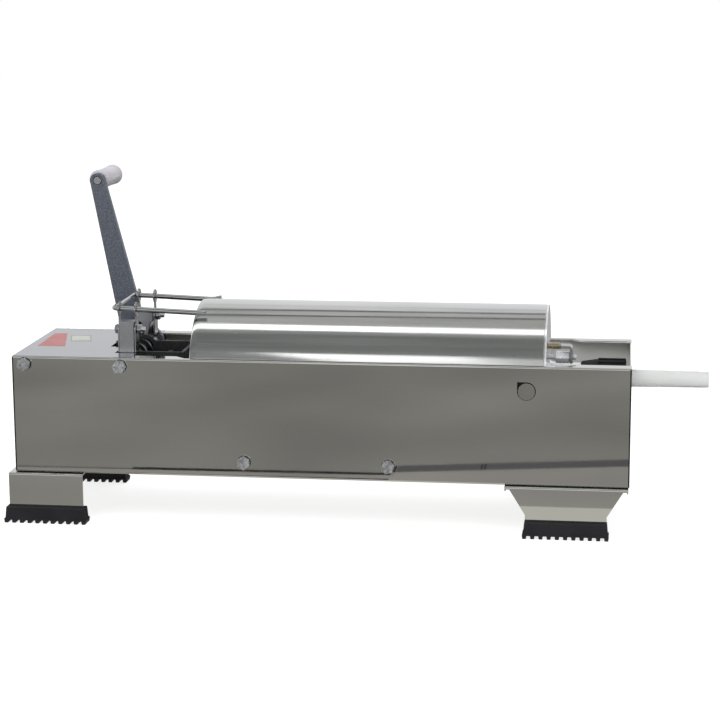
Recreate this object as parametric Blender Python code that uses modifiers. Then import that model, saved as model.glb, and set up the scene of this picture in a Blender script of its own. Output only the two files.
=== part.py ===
"""Lever sausage stuffer with a friction drive, built piece by piece.

The frame of the model: X runs from the rear end plate towards the nozzle, Y away from the near wall,
Z up. Every place below is measured from the chassis datum, which lies on the rear face of the chassis,
in its middle plane, at the height of the wall tops. The datum empty carries the whole machine and puts
the soles on Z = 0, with the origin under the middle of the overall box.
"""
from math import atan2, cos, pi, radians, sin, sqrt, tau

import bmesh
import bpy
from mathutils import Vector

# Clearances and shared values
GAP = 0.0003
CUT_OVERRUN = 0.004
RUNNING_GAP = 0.0004
LARGE_STEPS = 48
MEDIUM_STEPS = 24
SMALL_STEPS = 12
BEND_STEPS = 3
EDGE_STEPS = 2
MERGE = 0.00001

# Chassis of folded stainless sheet
FRONT_BAY = 0.097
CHASSIS_WIDTH = 0.182
CHASSIS_HEIGHT = 0.135
SHEET = 0.0015
BEND_RADIUS = 0.0025
TOP_FLANGE = 0.018
SLIM_FLANGE = 0.007
FLANGE_SLANT = 0.012
WIDE_FLANGE_MARGIN = 0.004
END_FLANGE = 0.020
FRONT_FLANGE_MARGIN = 0.025

# Top cover over the rear end
COVER_LENGTH = 0.138
COVER_LIP = 0.024
NOTCH_NEAR_Y = 0.060
NOTCH_MIDDLE_Y = 0.036
NOTCH_LEVER_Y = 0.052
NOTCH_FAR_Y = 0.070
NOTCH_POST_X = 0.1125
NOTCH_MIDDLE_X = 0.098
NOTCH_LEVER_X = 0.088

# Foot brackets and rubber shoes
FOOT_HEIGHT = 0.0573
FOOT_SPAN = 0.1925
REAR_FOOT_X = 0.0365
FRONT_FOOT_SETBACK = 0.0695
REAR_LEG_LENGTH = 0.087
FRONT_LEG_BOTTOM = 0.0905
FRONT_LEG_TOP = 0.126
FRONT_LEG_STRAIGHT = 0.0065
FRONT_PLATE_LENGTH = 0.137
FRONT_LIP_DROP = 0.005
SHOE_HEIGHT = 0.0183
SHOE_LENGTH = 0.0935
SHOE_WIDTH = 0.018
SHOE_TAPER = 0.001
SOLE_LENGTH = 0.096
SOLE_WIDTH = 0.020
SOLE_THICKNESS = 0.0055
SOLE_TOOTH_DEPTH = 0.0035
SOLE_TOOTH_PITCH = 0.0091
SOLE_TOOTH_LAND = 0.0051
SHOE_SLOT_DEPTH = 0.009

# Meat cylinder, its cap and its trunnions
CYLINDER_DIAMETER = 0.1652
CYLINDER_WALL = 0.0015
CYLINDER_REAR_X = 0.203
CYLINDER_LENGTH = 0.4
CYLINDER_DROP = 0.0286
RIM_TURN = 0.009
RIM_STEPS = 3
TRUNNION_SETBACK = 0.0179
TRUNNION_DIAMETER = 0.0192
TRUNNION_HOLE = 0.022
TRUNNION_HOLE_RISE = 0.0007
TRUNNION_COLLAR = 0.030
CAP_THICKNESS = 0.003
CAP_SKIRT = 0.010
CAP_LIP = 0.0023
SPOUT_DIAMETER = 0.034
SPOUT_BORE = 0.028
SPOUT_LENGTH = 0.047
SPOUT_FLARE = 0.006

# Nozzle and ring nut
NOZZLE_REACH = 0.184
NOZZLE_TIP_DIAMETER = 0.0182
NOZZLE_NECK_DIAMETER = 0.0202
NOZZLE_NECK_REACH = 0.096
NOZZLE_WALL = 0.0013
NOZZLE_ROOT_DIAMETER = 0.031
NOZZLE_FLANGE = 0.003
NOZZLE_FLANGE_DIAMETER = 0.0384
RING_DIAMETER = 0.047
RING_SETOUT = 0.040
RING_SHOULDER = 0.018
RING_LENGTH = 0.051
RING_SMALL_DIAMETER = 0.041
RING_NOSE_BORE = 0.036
RING_EDGE = 0.0014
NOZZLE_HOLE = 0.030

# Clamps on the front cap
CLAMP_Y = 0.050
CLAMP_RISE = 0.045
CLAMP_STUD_DIAMETER = 0.008
CLAMP_STUD_LENGTH = 0.015
CLAMP_REACH = 0.0285
CLAMP_THICKNESS = 0.003
CLAMP_WIDTH = 0.016
CLAMP_DROP = 0.0185
CLAMP_SCREW_DROP = 0.0125
CLAMP_SCREW_DIAMETER = 0.006
CLAMP_NUT_WIDTH = 0.013
CLAMP_NUT_LENGTH = 0.0155
CLAMP_SCREW_END = 0.004

# Cross rods and wall screws
ROD_DIAMETER = 0.0114
COVER_ROD_X = 0.0147
COVER_ROD_DROP = 0.0088
CRADLE_SETBACK = 0.064
CRADLE_SPACING = 0.164
SCREW_DIAMETER = 0.0076
SCREW_HEAD = 0.0135
SCREW_HEAD_HEIGHT = 0.0053
SCREW_WASHER = 0.0155
SCREW_WASHER_HEIGHT = 0.0012
SCREW_GRIP = 0.012

# Mechanism frame under the cover
PIVOT_X = 0.126
PIVOT_DROP = 0.0092
FRAME_REAR_X = 0.060
FRAME_FRONT_X = 0.188
FRAME_HALF_WIDTH = 0.037
FRAME_PLATE = 0.004
FRAME_BASE_FLANGE = 0.018
FRAME_TOP_DROP = 0.0022
FRAME_EAR_RADIUS = 0.0135

# Push rod and piston
PUSH_ROD_DIAMETER = 0.016
PUSH_ROD_REAR_X = 0.008
PUSH_ROD_CHAMFER = 0.0015
PISTON_SETBACK = 0.057
PISTON_THICKNESS = 0.014
PISTON_CLEARANCE = 0.0016
PISTON_STUD_DIAMETER = 0.010
PISTON_STUD_LENGTH = 0.021
PISTON_DISH = 0.003
SEAL_WIDTH = 0.006
SEAL_DEPTH = 0.0045
PISTON_NUT_WIDTH = 0.017
PISTON_NUT_HEIGHT = 0.009
ROD_HOLE = 0.020
BUSH_DIAMETER = 0.024
BUSH_FLANGE_DIAMETER = 0.030
BUSH_FLANGE = 0.003

# Lever, crank fork and pivot
PIVOT_SHAFT_DIAMETER = 0.012
HUB_DIAMETER = 0.018
SPACER_DIAMETER = 0.0146
HUB_NEAR_Y = 0.022
LEVER_NEAR_Y = 0.057
LEVER_THICKNESS = 0.008
LEVER_ANGLE = radians(12.43)
LEVER_EYE_X = 0.0663
LEVER_EYE_RISE = 0.185
LEVER_KNEE_RISE = 0.026
LEVER_EYE_RADIUS = 0.0089
LEVER_KNEE_RADIUS = 0.0146
LEVER_BOSS_RADIUS = 0.017
ARM_RADIUS = 0.041
ARM_LEAN = radians(40.0)
ARM_TIP_RADIUS = 0.005
ARM_ROOT_RADIUS = 0.0125
ARM_THICKNESS = 0.004
ARM_NEAR_Y = 0.0105
GRIP_DIAMETER = 0.024
GRIP_LENGTH = 0.0695
GRIP_BORE = 0.0105
GRIP_WAIST_SHARE = 0.94
GRIP_EDGE = 0.002
GRIP_BOLT_DIAMETER = 0.0095
GRIP_BOLT_HEAD = 0.015
GRIP_BOLT_HEAD_HEIGHT = 0.003
GRIP_COUNTERSINK = 0.005

# Posts and guide straps
POST_Y = 0.0475
POST_WIDTH = 0.017
POST_DEPTH = 0.019
NEAR_POST_TOP = 0.0355
NEAR_POST_BOTTOM = 0.040
POST_EDGE = 0.0012
FAR_HEAD_TOP = 0.033
FAR_HEAD_HEIGHT = 0.0135
FAR_STEM_TOP = 0.009
FAR_STEM_BOTTOM = 0.005
FAR_BOSS_RADIUS = 0.0125
STRAP_WIDTH = 0.0165
STRAP_THICKNESS = 0.0025
NEAR_STRAP_DROP = 0.025
FAR_STRAP_BOTTOM = 0.0015
STRAP_BOLT_RISE = 0.026
STRAP_BOLT_DIAMETER = 0.006
STRAP_BOLT_HEAD = 0.010
STRAP_BOLT_HEAD_HEIGHT = 0.004
STRAP_BOLT_END = 0.009
STRAP_NUT_HEIGHT = 0.005

# Sliding latch fork
LATCH_DIAMETER = 0.006
LATCH_RISE = 0.0458
LATCH_SLOPE_SHARE = 0.04
LATCH_REAR_X = 0.1098
LATCH_TIP_X = 0.218
LATCH_BEND = 0.0042
LATCH_FLICK_LENGTH = 0.014
LATCH_FLICK_RISE = 0.003

# Drive plate, lock plate and their springs
DRIVE_THICKNESS = 0.006
DRIVE_WIDTH = 0.044
DRIVE_ABOVE_AXIS = 0.018
DRIVE_BELOW_AXIS = 0.026
DRIVE_HOLE = 0.0168
LOCK_X = 0.1065
LOCK_THICKNESS = 0.005
LOCK_WIDTH = 0.040
LOCK_PIVOT_DEPTH = 0.0315
LOCK_PIN_DIAMETER = 0.006
LOCK_HOOK_RADIUS = 0.006
LOCK_HOLE = 0.0176
LOCK_TAB_WIDTH = 0.014
LOCK_TAB_RISE = 0.004
LOCK_SHOULDER = 0.016
LOCK_LEAN = radians(3.0)
LOCK_SPRING_DROP = 0.0105
LOCK_SPRING_RADIUS = 0.0032
LOCK_SPRING_WIRE = 0.0006
LOCK_SPRING_TURNS = 11
DRIVE_SPRING_RADIUS = 0.0106
DRIVE_SPRING_WIRE = 0.0009
DRIVE_SPRING_TURNS = 6
CURL_POINTS = 8

# Places that follow from the sizes above
AXIS_Z = -CYLINDER_DROP
PIVOT_Z = -PIVOT_DROP
CYLINDER_RADIUS = CYLINDER_DIAMETER / 2
CYLINDER_BORE_RADIUS = CYLINDER_RADIUS - CYLINDER_WALL
CYLINDER_FRONT_X = CYLINDER_REAR_X + CYLINDER_LENGTH
TRUNNION_X = CYLINDER_FRONT_X - TRUNNION_SETBACK
REAR_CRADLE_X = CYLINDER_REAR_X + CRADLE_SETBACK
FRONT_CRADLE_X = REAR_CRADLE_X + CRADLE_SPACING
PISTON_X = CYLINDER_FRONT_X - PISTON_SETBACK
RING_REAR_X = CYLINDER_FRONT_X + RING_SETOUT
RING_FRONT_X = RING_REAR_X + RING_LENGTH
NOZZLE_NECK_X = CYLINDER_FRONT_X + NOZZLE_NECK_REACH
NOZZLE_TIP_X = CYLINDER_FRONT_X + NOZZLE_REACH
CHASSIS_LENGTH = CYLINDER_FRONT_X + FRONT_BAY
FRONT_FOOT_X = CHASSIS_LENGTH - FRONT_FOOT_SETBACK
HALF_WIDTH = CHASSIS_WIDTH / 2
INNER_HALF_WIDTH = HALF_WIDTH - SHEET
COVER_HALF_WIDTH = INNER_HALF_WIDTH - GAP
FLOOR_Z = -CHASSIS_HEIGHT + SHEET
SOLE_Z = -CHASSIS_HEIGHT - FOOT_HEIGHT
LEG_Y = FOOT_SPAN / 2
LEVER_FAR_Y = LEVER_NEAR_Y + LEVER_THICKNESS
GRIP_NEAR_Y = LEVER_FAR_Y + GAP
GRIP_FAR_Y = GRIP_NEAR_Y + GRIP_LENGTH
CAP_FACE_X = CYLINDER_FRONT_X + GAP + CAP_LIP
CRADLE_Z = AXIS_Z - CYLINDER_RADIUS - GAP - ROD_DIAMETER / 2
ARM_TIP_X = PIVOT_X + ARM_RADIUS * sin(ARM_LEAN)
ARM_TIP_Z = PIVOT_Z - ARM_RADIUS * cos(ARM_LEAN)
DRIVE_X = ARM_TIP_X + ARM_TIP_RADIUS + GAP + DRIVE_THICKNESS / 2
OVERALL_REAR_X = REAR_FOOT_X - SOLE_LENGTH / 2
OVERALL_NEAR_Y = -LEG_Y - SOLE_WIDTH / 2
MIDDLE_X = (OVERALL_REAR_X + NOZZLE_TIP_X) / 2
MIDDLE_Y = (OVERALL_NEAR_Y + GRIP_FAR_Y) / 2

# Turns that lay a local frame along the machine: local Z becomes X, or local X, Y become Y, Z
ALONG_X = (0, pi / 2, 0)
ALONG_Y = (-pi / 2, 0, 0)
SECTION_YZ = (pi / 2, 0, pi / 2)
SIDE_XZ = (pi / 2, 0, 0)

for leftover in list(bpy.data.objects):
    bpy.data.objects.remove(leftover, do_unlink=True)

partsCollection = bpy.data.collections.new("sausage_stuffer")
cutterCollection = bpy.data.collections.new("cutters")
for group in (partsCollection, cutterCollection):
    bpy.context.scene.collection.children.link(group)


def make_material(name, colour, roughness, metallic):
    """A plain Principled material for one finish."""
    material = bpy.data.materials.new(name)
    material.use_nodes = True
    shader = material.node_tree.nodes["Principled BSDF"]
    shader.inputs["Base Color"].default_value = (*colour, 1.0)
    shader.inputs["Roughness"].default_value = roughness
    shader.inputs["Metallic"].default_value = metallic
    return material


FINISHES = {
    "polished_sheet": make_material("polished_sheet", (0.62, 0.61, 0.58), 0.14, 1.0),
    "bright_sheet": make_material("bright_sheet", (0.74, 0.74, 0.73), 0.18, 1.0),
    "steel": make_material("steel", (0.55, 0.55, 0.55), 0.35, 1.0),
    "zinc": make_material("zinc", (0.66, 0.67, 0.68), 0.28, 1.0),
    "chrome": make_material("chrome", (0.78, 0.79, 0.79), 0.08, 1.0),
    "brass": make_material("brass", (0.62, 0.47, 0.24), 0.28, 1.0),
    "lever_paint": make_material("lever_paint", (0.075, 0.085, 0.10), 0.45, 0.2),
    "frame_paint": make_material("frame_paint", (0.015, 0.015, 0.016), 0.55, 0.0),
    "rubber": make_material("rubber", (0.018, 0.017, 0.022), 0.75, 0.0),
    "black_plastic": make_material("black_plastic", (0.02, 0.02, 0.02), 0.4, 0.0),
    "pale_plastic": make_material("pale_plastic", (0.72, 0.68, 0.74), 0.35, 0.0),
    "nozzle_plastic": make_material("nozzle_plastic", (0.80, 0.81, 0.78), 0.3, 0.0),
    "seal": make_material("seal", (0.55, 0.52, 0.46), 0.6, 0.0),
}


def make_empty(name, location, parent=None):
    """An empty that marks the datum or a joint axis; its location is in its parent's frame."""
    empty = bpy.data.objects.new(name, None)
    partsCollection.objects.link(empty)
    empty.parent = parent
    empty.location = location
    return empty


DATUM = make_empty("machine_datum", (-MIDDLE_X, -MIDDLE_Y, -SOLE_Z))
PIVOTS = {
    "lever": make_empty("lever_axis", (PIVOT_X, 0, PIVOT_Z), DATUM),
    "grip": make_empty("grip_axis", (LEVER_EYE_X, 0, LEVER_EYE_RISE), DATUM),
    "lock": make_empty("lock_axis", (LOCK_X, 0, AXIS_Z - LOCK_PIVOT_DEPTH), DATUM),
}


def finish(obj, finish_name, location, rotation=(0, 0, 0), pivot=None, smooth=None):
    """Hang a piece on the datum, or on a joint's empty, at a place in the datum's frame."""
    parent = PIVOTS[pivot] if pivot else DATUM
    offset = parent.location if pivot else Vector()
    obj.parent = parent
    obj.location = Vector(location) - offset
    obj.rotation_euler = rotation
    if finish_name:
        obj.data.materials.append(FINISHES[finish_name])
    if smooth is not None and obj.type == "MESH":
        obj.data.shade_smooth()
        obj.data.set_sharp_from_angle(angle=smooth)
    return obj


def link_mesh(name, work, cutter=False):
    """Turn a bmesh into an object, in the parts or among the cutters."""
    mesh = bpy.data.meshes.new(name)
    bmesh.ops.recalc_face_normals(work, faces=work.faces)
    work.to_mesh(mesh)
    work.free()
    obj = bpy.data.objects.new(name, mesh)
    (cutterCollection if cutter else partsCollection).objects.link(obj)
    if cutter:
        obj.hide_render = True
        obj.display_type = "WIRE"
    return obj


def make_box(name, size, cutter=False):
    """A box of the given size, centred on its own origin."""
    work = bmesh.new()
    bmesh.ops.create_cube(work, size=1.0)
    bmesh.ops.scale(work, vec=size, verts=work.verts)
    return link_mesh(name, work, cutter)


def make_drum(name, radius, length, steps=MEDIUM_STEPS, end_radius=None, cutter=False):
    """A cylinder or cone along local Z, centred on its own origin."""
    work = bmesh.new()
    top = radius if end_radius is None else end_radius
    bmesh.ops.create_cone(work, cap_ends=True, segments=steps, radius1=radius, radius2=top, depth=length)
    return link_mesh(name, work, cutter)


def make_turned(name, profile, steps, closed=True):
    """Turn a profile of (radius, station) pairs about local Z with a Screw modifier.

    The outer side runs from the high station to the low one. A closed profile is a ring with a bore,
    an open one starts and ends on the axis.
    """
    work = bmesh.new()
    points = [work.verts.new((radius, 0, station)) for radius, station in profile]
    pairs = list(zip(points, points[1:]))
    if closed:
        pairs.append((points[-1], points[0]))
    for first, second in pairs:
        work.edges.new((first, second))
    mesh = bpy.data.meshes.new(name)
    work.to_mesh(mesh)
    work.free()
    obj = bpy.data.objects.new(name, mesh)
    partsCollection.objects.link(obj)
    screw = obj.modifiers.new("turn", "SCREW")
    screw.steps = steps
    screw.render_steps = steps
    screw.use_merge_vertices = True
    screw.merge_threshold = MERGE
    screw.use_smooth_shade = True
    return obj


def arc(centre, radius, start, end, count):
    """Points on an arc from one angle to another, both ends included."""
    turn = (end - start) / count
    return [(centre[0] + radius * cos(start + turn * step),
             centre[1] + radius * sin(start + turn * step)) for step in range(count + 1)]


def ring(centre, radius, count=SMALL_STEPS):
    """A closed circle of points."""
    return arc(centre, radius, 0, tau, count)[:-1]


def make_plate(name, outlines, thickness, cutter=False):
    """A flat plate from closed outlines in local XY; inner outlines are holes, the middle plane is Z = 0."""
    curve = bpy.data.curves.new(name, "CURVE")
    curve.dimensions = "2D"
    curve.fill_mode = "BOTH"
    curve.extrude = thickness / 2
    for outline in outlines:
        spline = curve.splines.new("POLY")
        spline.points.add(len(outline) - 1)
        for point, (x, y) in zip(spline.points, outline):
            point.co = (x, y, 0, 1)
        spline.use_cyclic_u = True
    flat = bpy.data.objects.new(name + "_curve", curve)
    partsCollection.objects.link(flat)
    bpy.context.view_layer.update()
    graph = bpy.context.evaluated_depsgraph_get()
    mesh = bpy.data.meshes.new_from_object(flat.evaluated_get(graph))
    bpy.data.objects.remove(flat, do_unlink=True)
    work = bmesh.new()
    work.from_mesh(mesh)
    bpy.data.meshes.remove(mesh)
    bmesh.ops.remove_doubles(work, verts=work.verts, dist=MERGE)
    return link_mesh(name, work, cutter)


def make_folded(name, section, length, thickness):
    """Sheet folded along an open section in local XY and run along local Z, centred on the section line."""
    work = bmesh.new()
    points = [work.verts.new((x, y, 0)) for x, y in section]
    edges = [work.edges.new(pair) for pair in zip(points, points[1:])]
    swept = bmesh.ops.extrude_edge_only(work, edges=edges)["geom"]
    moved = [item for item in swept if isinstance(item, bmesh.types.BMVert)]
    bmesh.ops.translate(work, vec=(0, 0, length), verts=moved)
    obj = link_mesh(name, work)
    shell = obj.modifiers.new("sheet", "SOLIDIFY")
    shell.thickness = thickness
    shell.offset = 0
    shell.use_even_offset = True
    return obj


def make_wire(name, paths, radius, resolution):
    """A bent wire along one open path of points."""
    curve = bpy.data.curves.new(name, "CURVE")
    curve.dimensions = "3D"
    curve.bevel_depth = radius
    curve.bevel_resolution = resolution
    curve.use_fill_caps = True
    spline = curve.splines.new("POLY")
    spline.points.add(len(paths) - 1)
    for point, place in zip(spline.points, paths):
        point.co = (*place, 1)
    obj = bpy.data.objects.new(name, curve)
    partsCollection.objects.link(obj)
    return obj


def combine(target, tool, operation):
    """Cut or join one object with another by an exact Boolean."""
    step = target.modifiers.new(operation.lower(), "BOOLEAN")
    step.operation = operation
    step.solver = "EXACT"
    step.object = tool
    return target


def cut(target, tool):
    return combine(target, tool, "DIFFERENCE")


def join(target, tool):
    return combine(target, tool, "UNION")


def soften(obj, width, segments=EDGE_STEPS, angle=radians(40)):
    """Round the edges sharper than the angle."""
    bevel = obj.modifiers.new("edges", "BEVEL")
    bevel.width = width
    bevel.segments = segments
    bevel.limit_method = "ANGLE"
    bevel.angle_limit = angle
    return obj


def box_tool(name, low, high):
    """A cutter box between two corners in the datum's frame."""
    size = [top - bottom for bottom, top in zip(low, high)]
    centre = [(top + bottom) / 2 for bottom, top in zip(low, high)]
    return finish(make_box(name, size, cutter=True), None, centre)


def drum_tool(name, radius, length, centre, rotation, steps=MEDIUM_STEPS):
    """A cutter cylinder at a place in the datum's frame."""
    return finish(make_drum(name, radius, length, steps, cutter=True), None, centre, rotation)


def bent_corner(corner, before, after, radius):
    """Points that round a right-angled corner of a section, from one leg's direction to the other's."""
    start = Vector(corner) - Vector(before) * radius
    centre = start + Vector(after) * radius
    first = atan2(start.y - centre.y, start.x - centre.x)
    side = before[0] * after[1] - before[1] * after[0]
    return arc(centre, radius, first, first + side * pi / 2, BEND_STEPS)


def build_chassis():
    """The long U-shaped trough with inward flanges, open for the cylinder and closed at the ends."""
    middle = SHEET / 2
    wall_y = HALF_WIDTH - middle
    top_z = -middle
    floor_z = -CHASSIS_HEIGHT + middle
    lip_y = HALF_WIDTH - TOP_FLANGE
    section = [(-lip_y, top_z)]
    section += bent_corner((-wall_y, top_z), (-1, 0), (0, -1), BEND_RADIUS)
    section += bent_corner((-wall_y, floor_z), (0, -1), (1, 0), BEND_RADIUS)
    section += bent_corner((wall_y, floor_z), (1, 0), (0, 1), BEND_RADIUS)
    section += bent_corner((wall_y, top_z), (0, 1), (-1, 0), BEND_RADIUS)
    section.append((lip_y, top_z))
    shell = make_folded("chassis_shell", section, CHASSIS_LENGTH, SHEET)
    finish(shell, "polished_sheet", (0, 0, 0), SECTION_YZ, smooth=radians(30))

    cover_end = COVER_LENGTH + GAP
    cut(shell, box_tool("cover_seat_tool", (-CUT_OVERRUN, -INNER_HALF_WIDTH, -SHEET - BEND_RADIUS),
                        (cover_end, INNER_HALF_WIDTH, CUT_OVERRUN)))
    slim_y = HALF_WIDTH - SLIM_FLANGE
    wide_y = HALF_WIDTH - TOP_FLANGE - GAP
    start = CYLINDER_REAR_X - WIDE_FLANGE_MARGIN - FLANGE_SLANT
    end = CYLINDER_FRONT_X + FRONT_FLANGE_MARGIN
    outline = [(start, -wide_y), (start + FLANGE_SLANT, -slim_y), (end, -slim_y), (end + FLANGE_SLANT, -wide_y),
               (end + FLANGE_SLANT, wide_y), (end, slim_y), (start + FLANGE_SLANT, slim_y), (start, wide_y)]
    bay = make_plate("cylinder_bay_tool", [outline], SHEET + 2 * CUT_OVERRUN, cutter=True)
    cut(shell, finish(bay, None, (0, 0, -SHEET / 2)))

    hole_z = AXIS_Z + TRUNNION_HOLE_RISE
    radius = TRUNNION_HOLE / 2
    round_hole = arc((TRUNNION_X, hole_z), radius, -pi, pi / 2, MEDIUM_STEPS)
    outline = round_hole + [(TRUNNION_X - radius, hole_z + radius)]
    hole = make_plate("trunnion_hole_tool", [outline], CHASSIS_WIDTH + 2 * CUT_OVERRUN, cutter=True)
    cut(shell, finish(hole, None, (0, 0, 0), SIDE_XZ))
    for index, (x, z) in enumerate(screw_places()):
        cut(shell, drum_tool(f"wall_hole_tool_{index}", SCREW_DIAMETER / 2 + GAP,
                             CHASSIS_WIDTH + 2 * CUT_OVERRUN, (x, 0, z), ALONG_Y, SMALL_STEPS))
    return shell


def screw_places():
    """Where screws pass the walls, each into the end of a cross rod or of the pivot shaft."""
    return [(COVER_ROD_X, -COVER_ROD_DROP), (PIVOT_X, PIVOT_Z), (REAR_CRADLE_X, CRADLE_Z),
            (FRONT_CRADLE_X, CRADLE_Z)]


def rounded_outline(half_width, low, high, radius):
    """A rectangle with round corners, symmetric about the second axis."""
    half = half_width - radius
    corners = ((half, high - radius, 0), (-half, high - radius, pi / 2), (-half, low + radius, pi),
               (half, low + radius, 3 * pi / 2))
    outline = []
    for x, y, start in corners:
        outline += arc((x, y), radius, start, start + pi / 2, BEND_STEPS)
    return outline


def build_end_plate(name, outer_x, inward, hole_radius):
    """A flat end plate with a flange turned inwards along its sides and bottom."""
    half = INNER_HALF_WIDTH - GAP
    low = FLOOR_Z + GAP
    high = -SHEET - GAP
    depth = END_FLANGE
    plate = make_plate(name, [rounded_outline(half, low, high, BEND_RADIUS)], depth)
    finish(plate, "polished_sheet", (outer_x + inward * depth / 2, 0, 0), SECTION_YZ, smooth=radians(30))
    hollow_depth = depth - SHEET + CUT_OVERRUN
    hollow_x = outer_x + inward * (SHEET + hollow_depth / 2)
    inside = rounded_outline(half - SHEET, low + SHEET, high + BEND_RADIUS + CUT_OVERRUN, BEND_RADIUS - SHEET)
    hollow = make_plate(name + "_hollow_tool", [inside], hollow_depth, cutter=True)
    cut(plate, finish(hollow, None, (hollow_x, 0, 0), SECTION_YZ))
    side_top = -COVER_LIP - SHEET - GAP
    near_x, far_x = sorted((outer_x + inward * SHEET, outer_x + inward * (depth + CUT_OVERRUN)))
    cut(plate, box_tool(name + "_side_tool", (near_x, -HALF_WIDTH, side_top), (far_x, HALF_WIDTH, CUT_OVERRUN)))
    cut(plate, drum_tool(name + "_hole_tool", hole_radius, SHEET + 2 * CUT_OVERRUN,
                         (outer_x, 0, AXIS_Z), ALONG_X))
    return plate


def build_cover():
    """The cover over the mechanism: a panel with a stepped notch and lips turned down inside the walls."""
    middle = SHEET / 2
    side = COVER_HALF_WIDTH - middle
    section = [(-side, -COVER_LIP)]
    section += bent_corner((-side, -middle), (0, 1), (1, 0), BEND_RADIUS)
    section += bent_corner((side, -middle), (1, 0), (0, -1), BEND_RADIUS)
    section.append((side, -COVER_LIP))
    cover = make_folded("top_cover", section, COVER_LENGTH, SHEET)
    finish(cover, "polished_sheet", (0, 0, 0), SECTION_YZ, smooth=radians(30))
    end = COVER_LENGTH + CUT_OVERRUN
    notch = [(end, -NOTCH_NEAR_Y), (end, NOTCH_FAR_Y), (NOTCH_LEVER_X, NOTCH_FAR_Y),
             (NOTCH_LEVER_X, NOTCH_LEVER_Y), (NOTCH_MIDDLE_X, NOTCH_LEVER_Y),
             (NOTCH_MIDDLE_X, -NOTCH_MIDDLE_Y), (NOTCH_POST_X, -NOTCH_MIDDLE_Y), (NOTCH_POST_X, -NOTCH_NEAR_Y)]
    tool = make_plate("cover_notch_tool", [notch], SHEET + 2 * CUT_OVERRUN, cutter=True)
    cut(cover, finish(tool, None, (0, 0, -middle)))
    cut(cover, box_tool("cover_lip_tool", (-CUT_OVERRUN, -HALF_WIDTH, -COVER_LIP - CUT_OVERRUN),
                        (SHEET + GAP, HALF_WIDTH, -SHEET - GAP / 2)))
    for index, (x, z) in enumerate(screw_places()[:2]):
        cut(cover, drum_tool(f"cover_hole_tool_{index}", SCREW_DIAMETER / 2 + GAP,
                             CHASSIS_WIDTH, (x, 0, z), ALONG_Y, SMALL_STEPS))
    return cover


def build_rear_bracket():
    """A hat-shaped bracket under the rear end, its straight legs standing in the rubber shoes."""
    middle = SHEET / 2
    top_z = -CHASSIS_HEIGHT - GAP - middle
    foot_z = leg_bottom()
    section = [(-LEG_Y, foot_z)]
    section += bent_corner((-LEG_Y, top_z), (0, 1), (1, 0), BEND_RADIUS)
    section += bent_corner((LEG_Y, top_z), (1, 0), (0, -1), BEND_RADIUS)
    section.append((LEG_Y, foot_z))
    bracket = make_folded("rear_foot_bracket", section, REAR_LEG_LENGTH, SHEET)
    return finish(bracket, "polished_sheet", (REAR_FOOT_X - REAR_LEG_LENGTH / 2, 0, 0), SECTION_YZ,
                  smooth=radians(30))


def leg_bottom():
    """The height of the bracket legs' lower edge, on the bottom of the shoes' slots."""
    return SOLE_Z + SHOE_HEIGHT - SHOE_SLOT_DEPTH + GAP


def build_front_bracket():
    """The front bracket: a plate with short lips at its ends and tapering legs."""
    middle = SHEET / 2
    top_z = -CHASSIS_HEIGHT - GAP - middle
    foot_z = leg_bottom()
    section = [(-LEG_Y, foot_z)]
    section += bent_corner((-LEG_Y, top_z), (0, 1), (1, 0), BEND_RADIUS)
    section += bent_corner((LEG_Y, top_z), (1, 0), (0, -1), BEND_RADIUS)
    section.append((LEG_Y, foot_z))
    bracket = make_folded("front_foot_bracket", section, FRONT_PLATE_LENGTH, SHEET)
    finish(bracket, "polished_sheet", (FRONT_FOOT_X - FRONT_PLATE_LENGTH / 2, 0, 0), SECTION_YZ, smooth=radians(30))
    fold_z = top_z - BEND_RADIUS
    knee_z = foot_z + FRONT_LEG_STRAIGHT + SHOE_SLOT_DEPTH
    past = FRONT_PLATE_LENGTH / 2 + CUT_OVERRUN
    for side, label in ((-1, "rear"), (1, "front")):
        half_bottom = FRONT_LEG_BOTTOM / 2
        half_top = FRONT_LEG_TOP / 2
        outline = [(side * half_bottom, foot_z - CUT_OVERRUN), (side * half_bottom, knee_z),
                   (side * half_top, fold_z), (side * past, fold_z), (side * past, foot_z - CUT_OVERRUN)]
        tool = make_plate(f"leg_taper_tool_{label}", [outline], FOOT_SPAN + 2 * CUT_OVERRUN, cutter=True)
        cut(bracket, finish(tool, None, (FRONT_FOOT_X, 0, 0), SIDE_XZ))
        lip = make_box(f"bracket_lip_{label}", (SHEET, FOOT_SPAN - 2 * BEND_RADIUS, FRONT_LIP_DROP), cutter=True)
        lip_x = FRONT_FOOT_X + side * (FRONT_PLATE_LENGTH - SHEET) / 2
        finish(lip, None, (lip_x, 0, top_z - FRONT_LIP_DROP / 2))
        join(bracket, lip)
    return bracket


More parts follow.
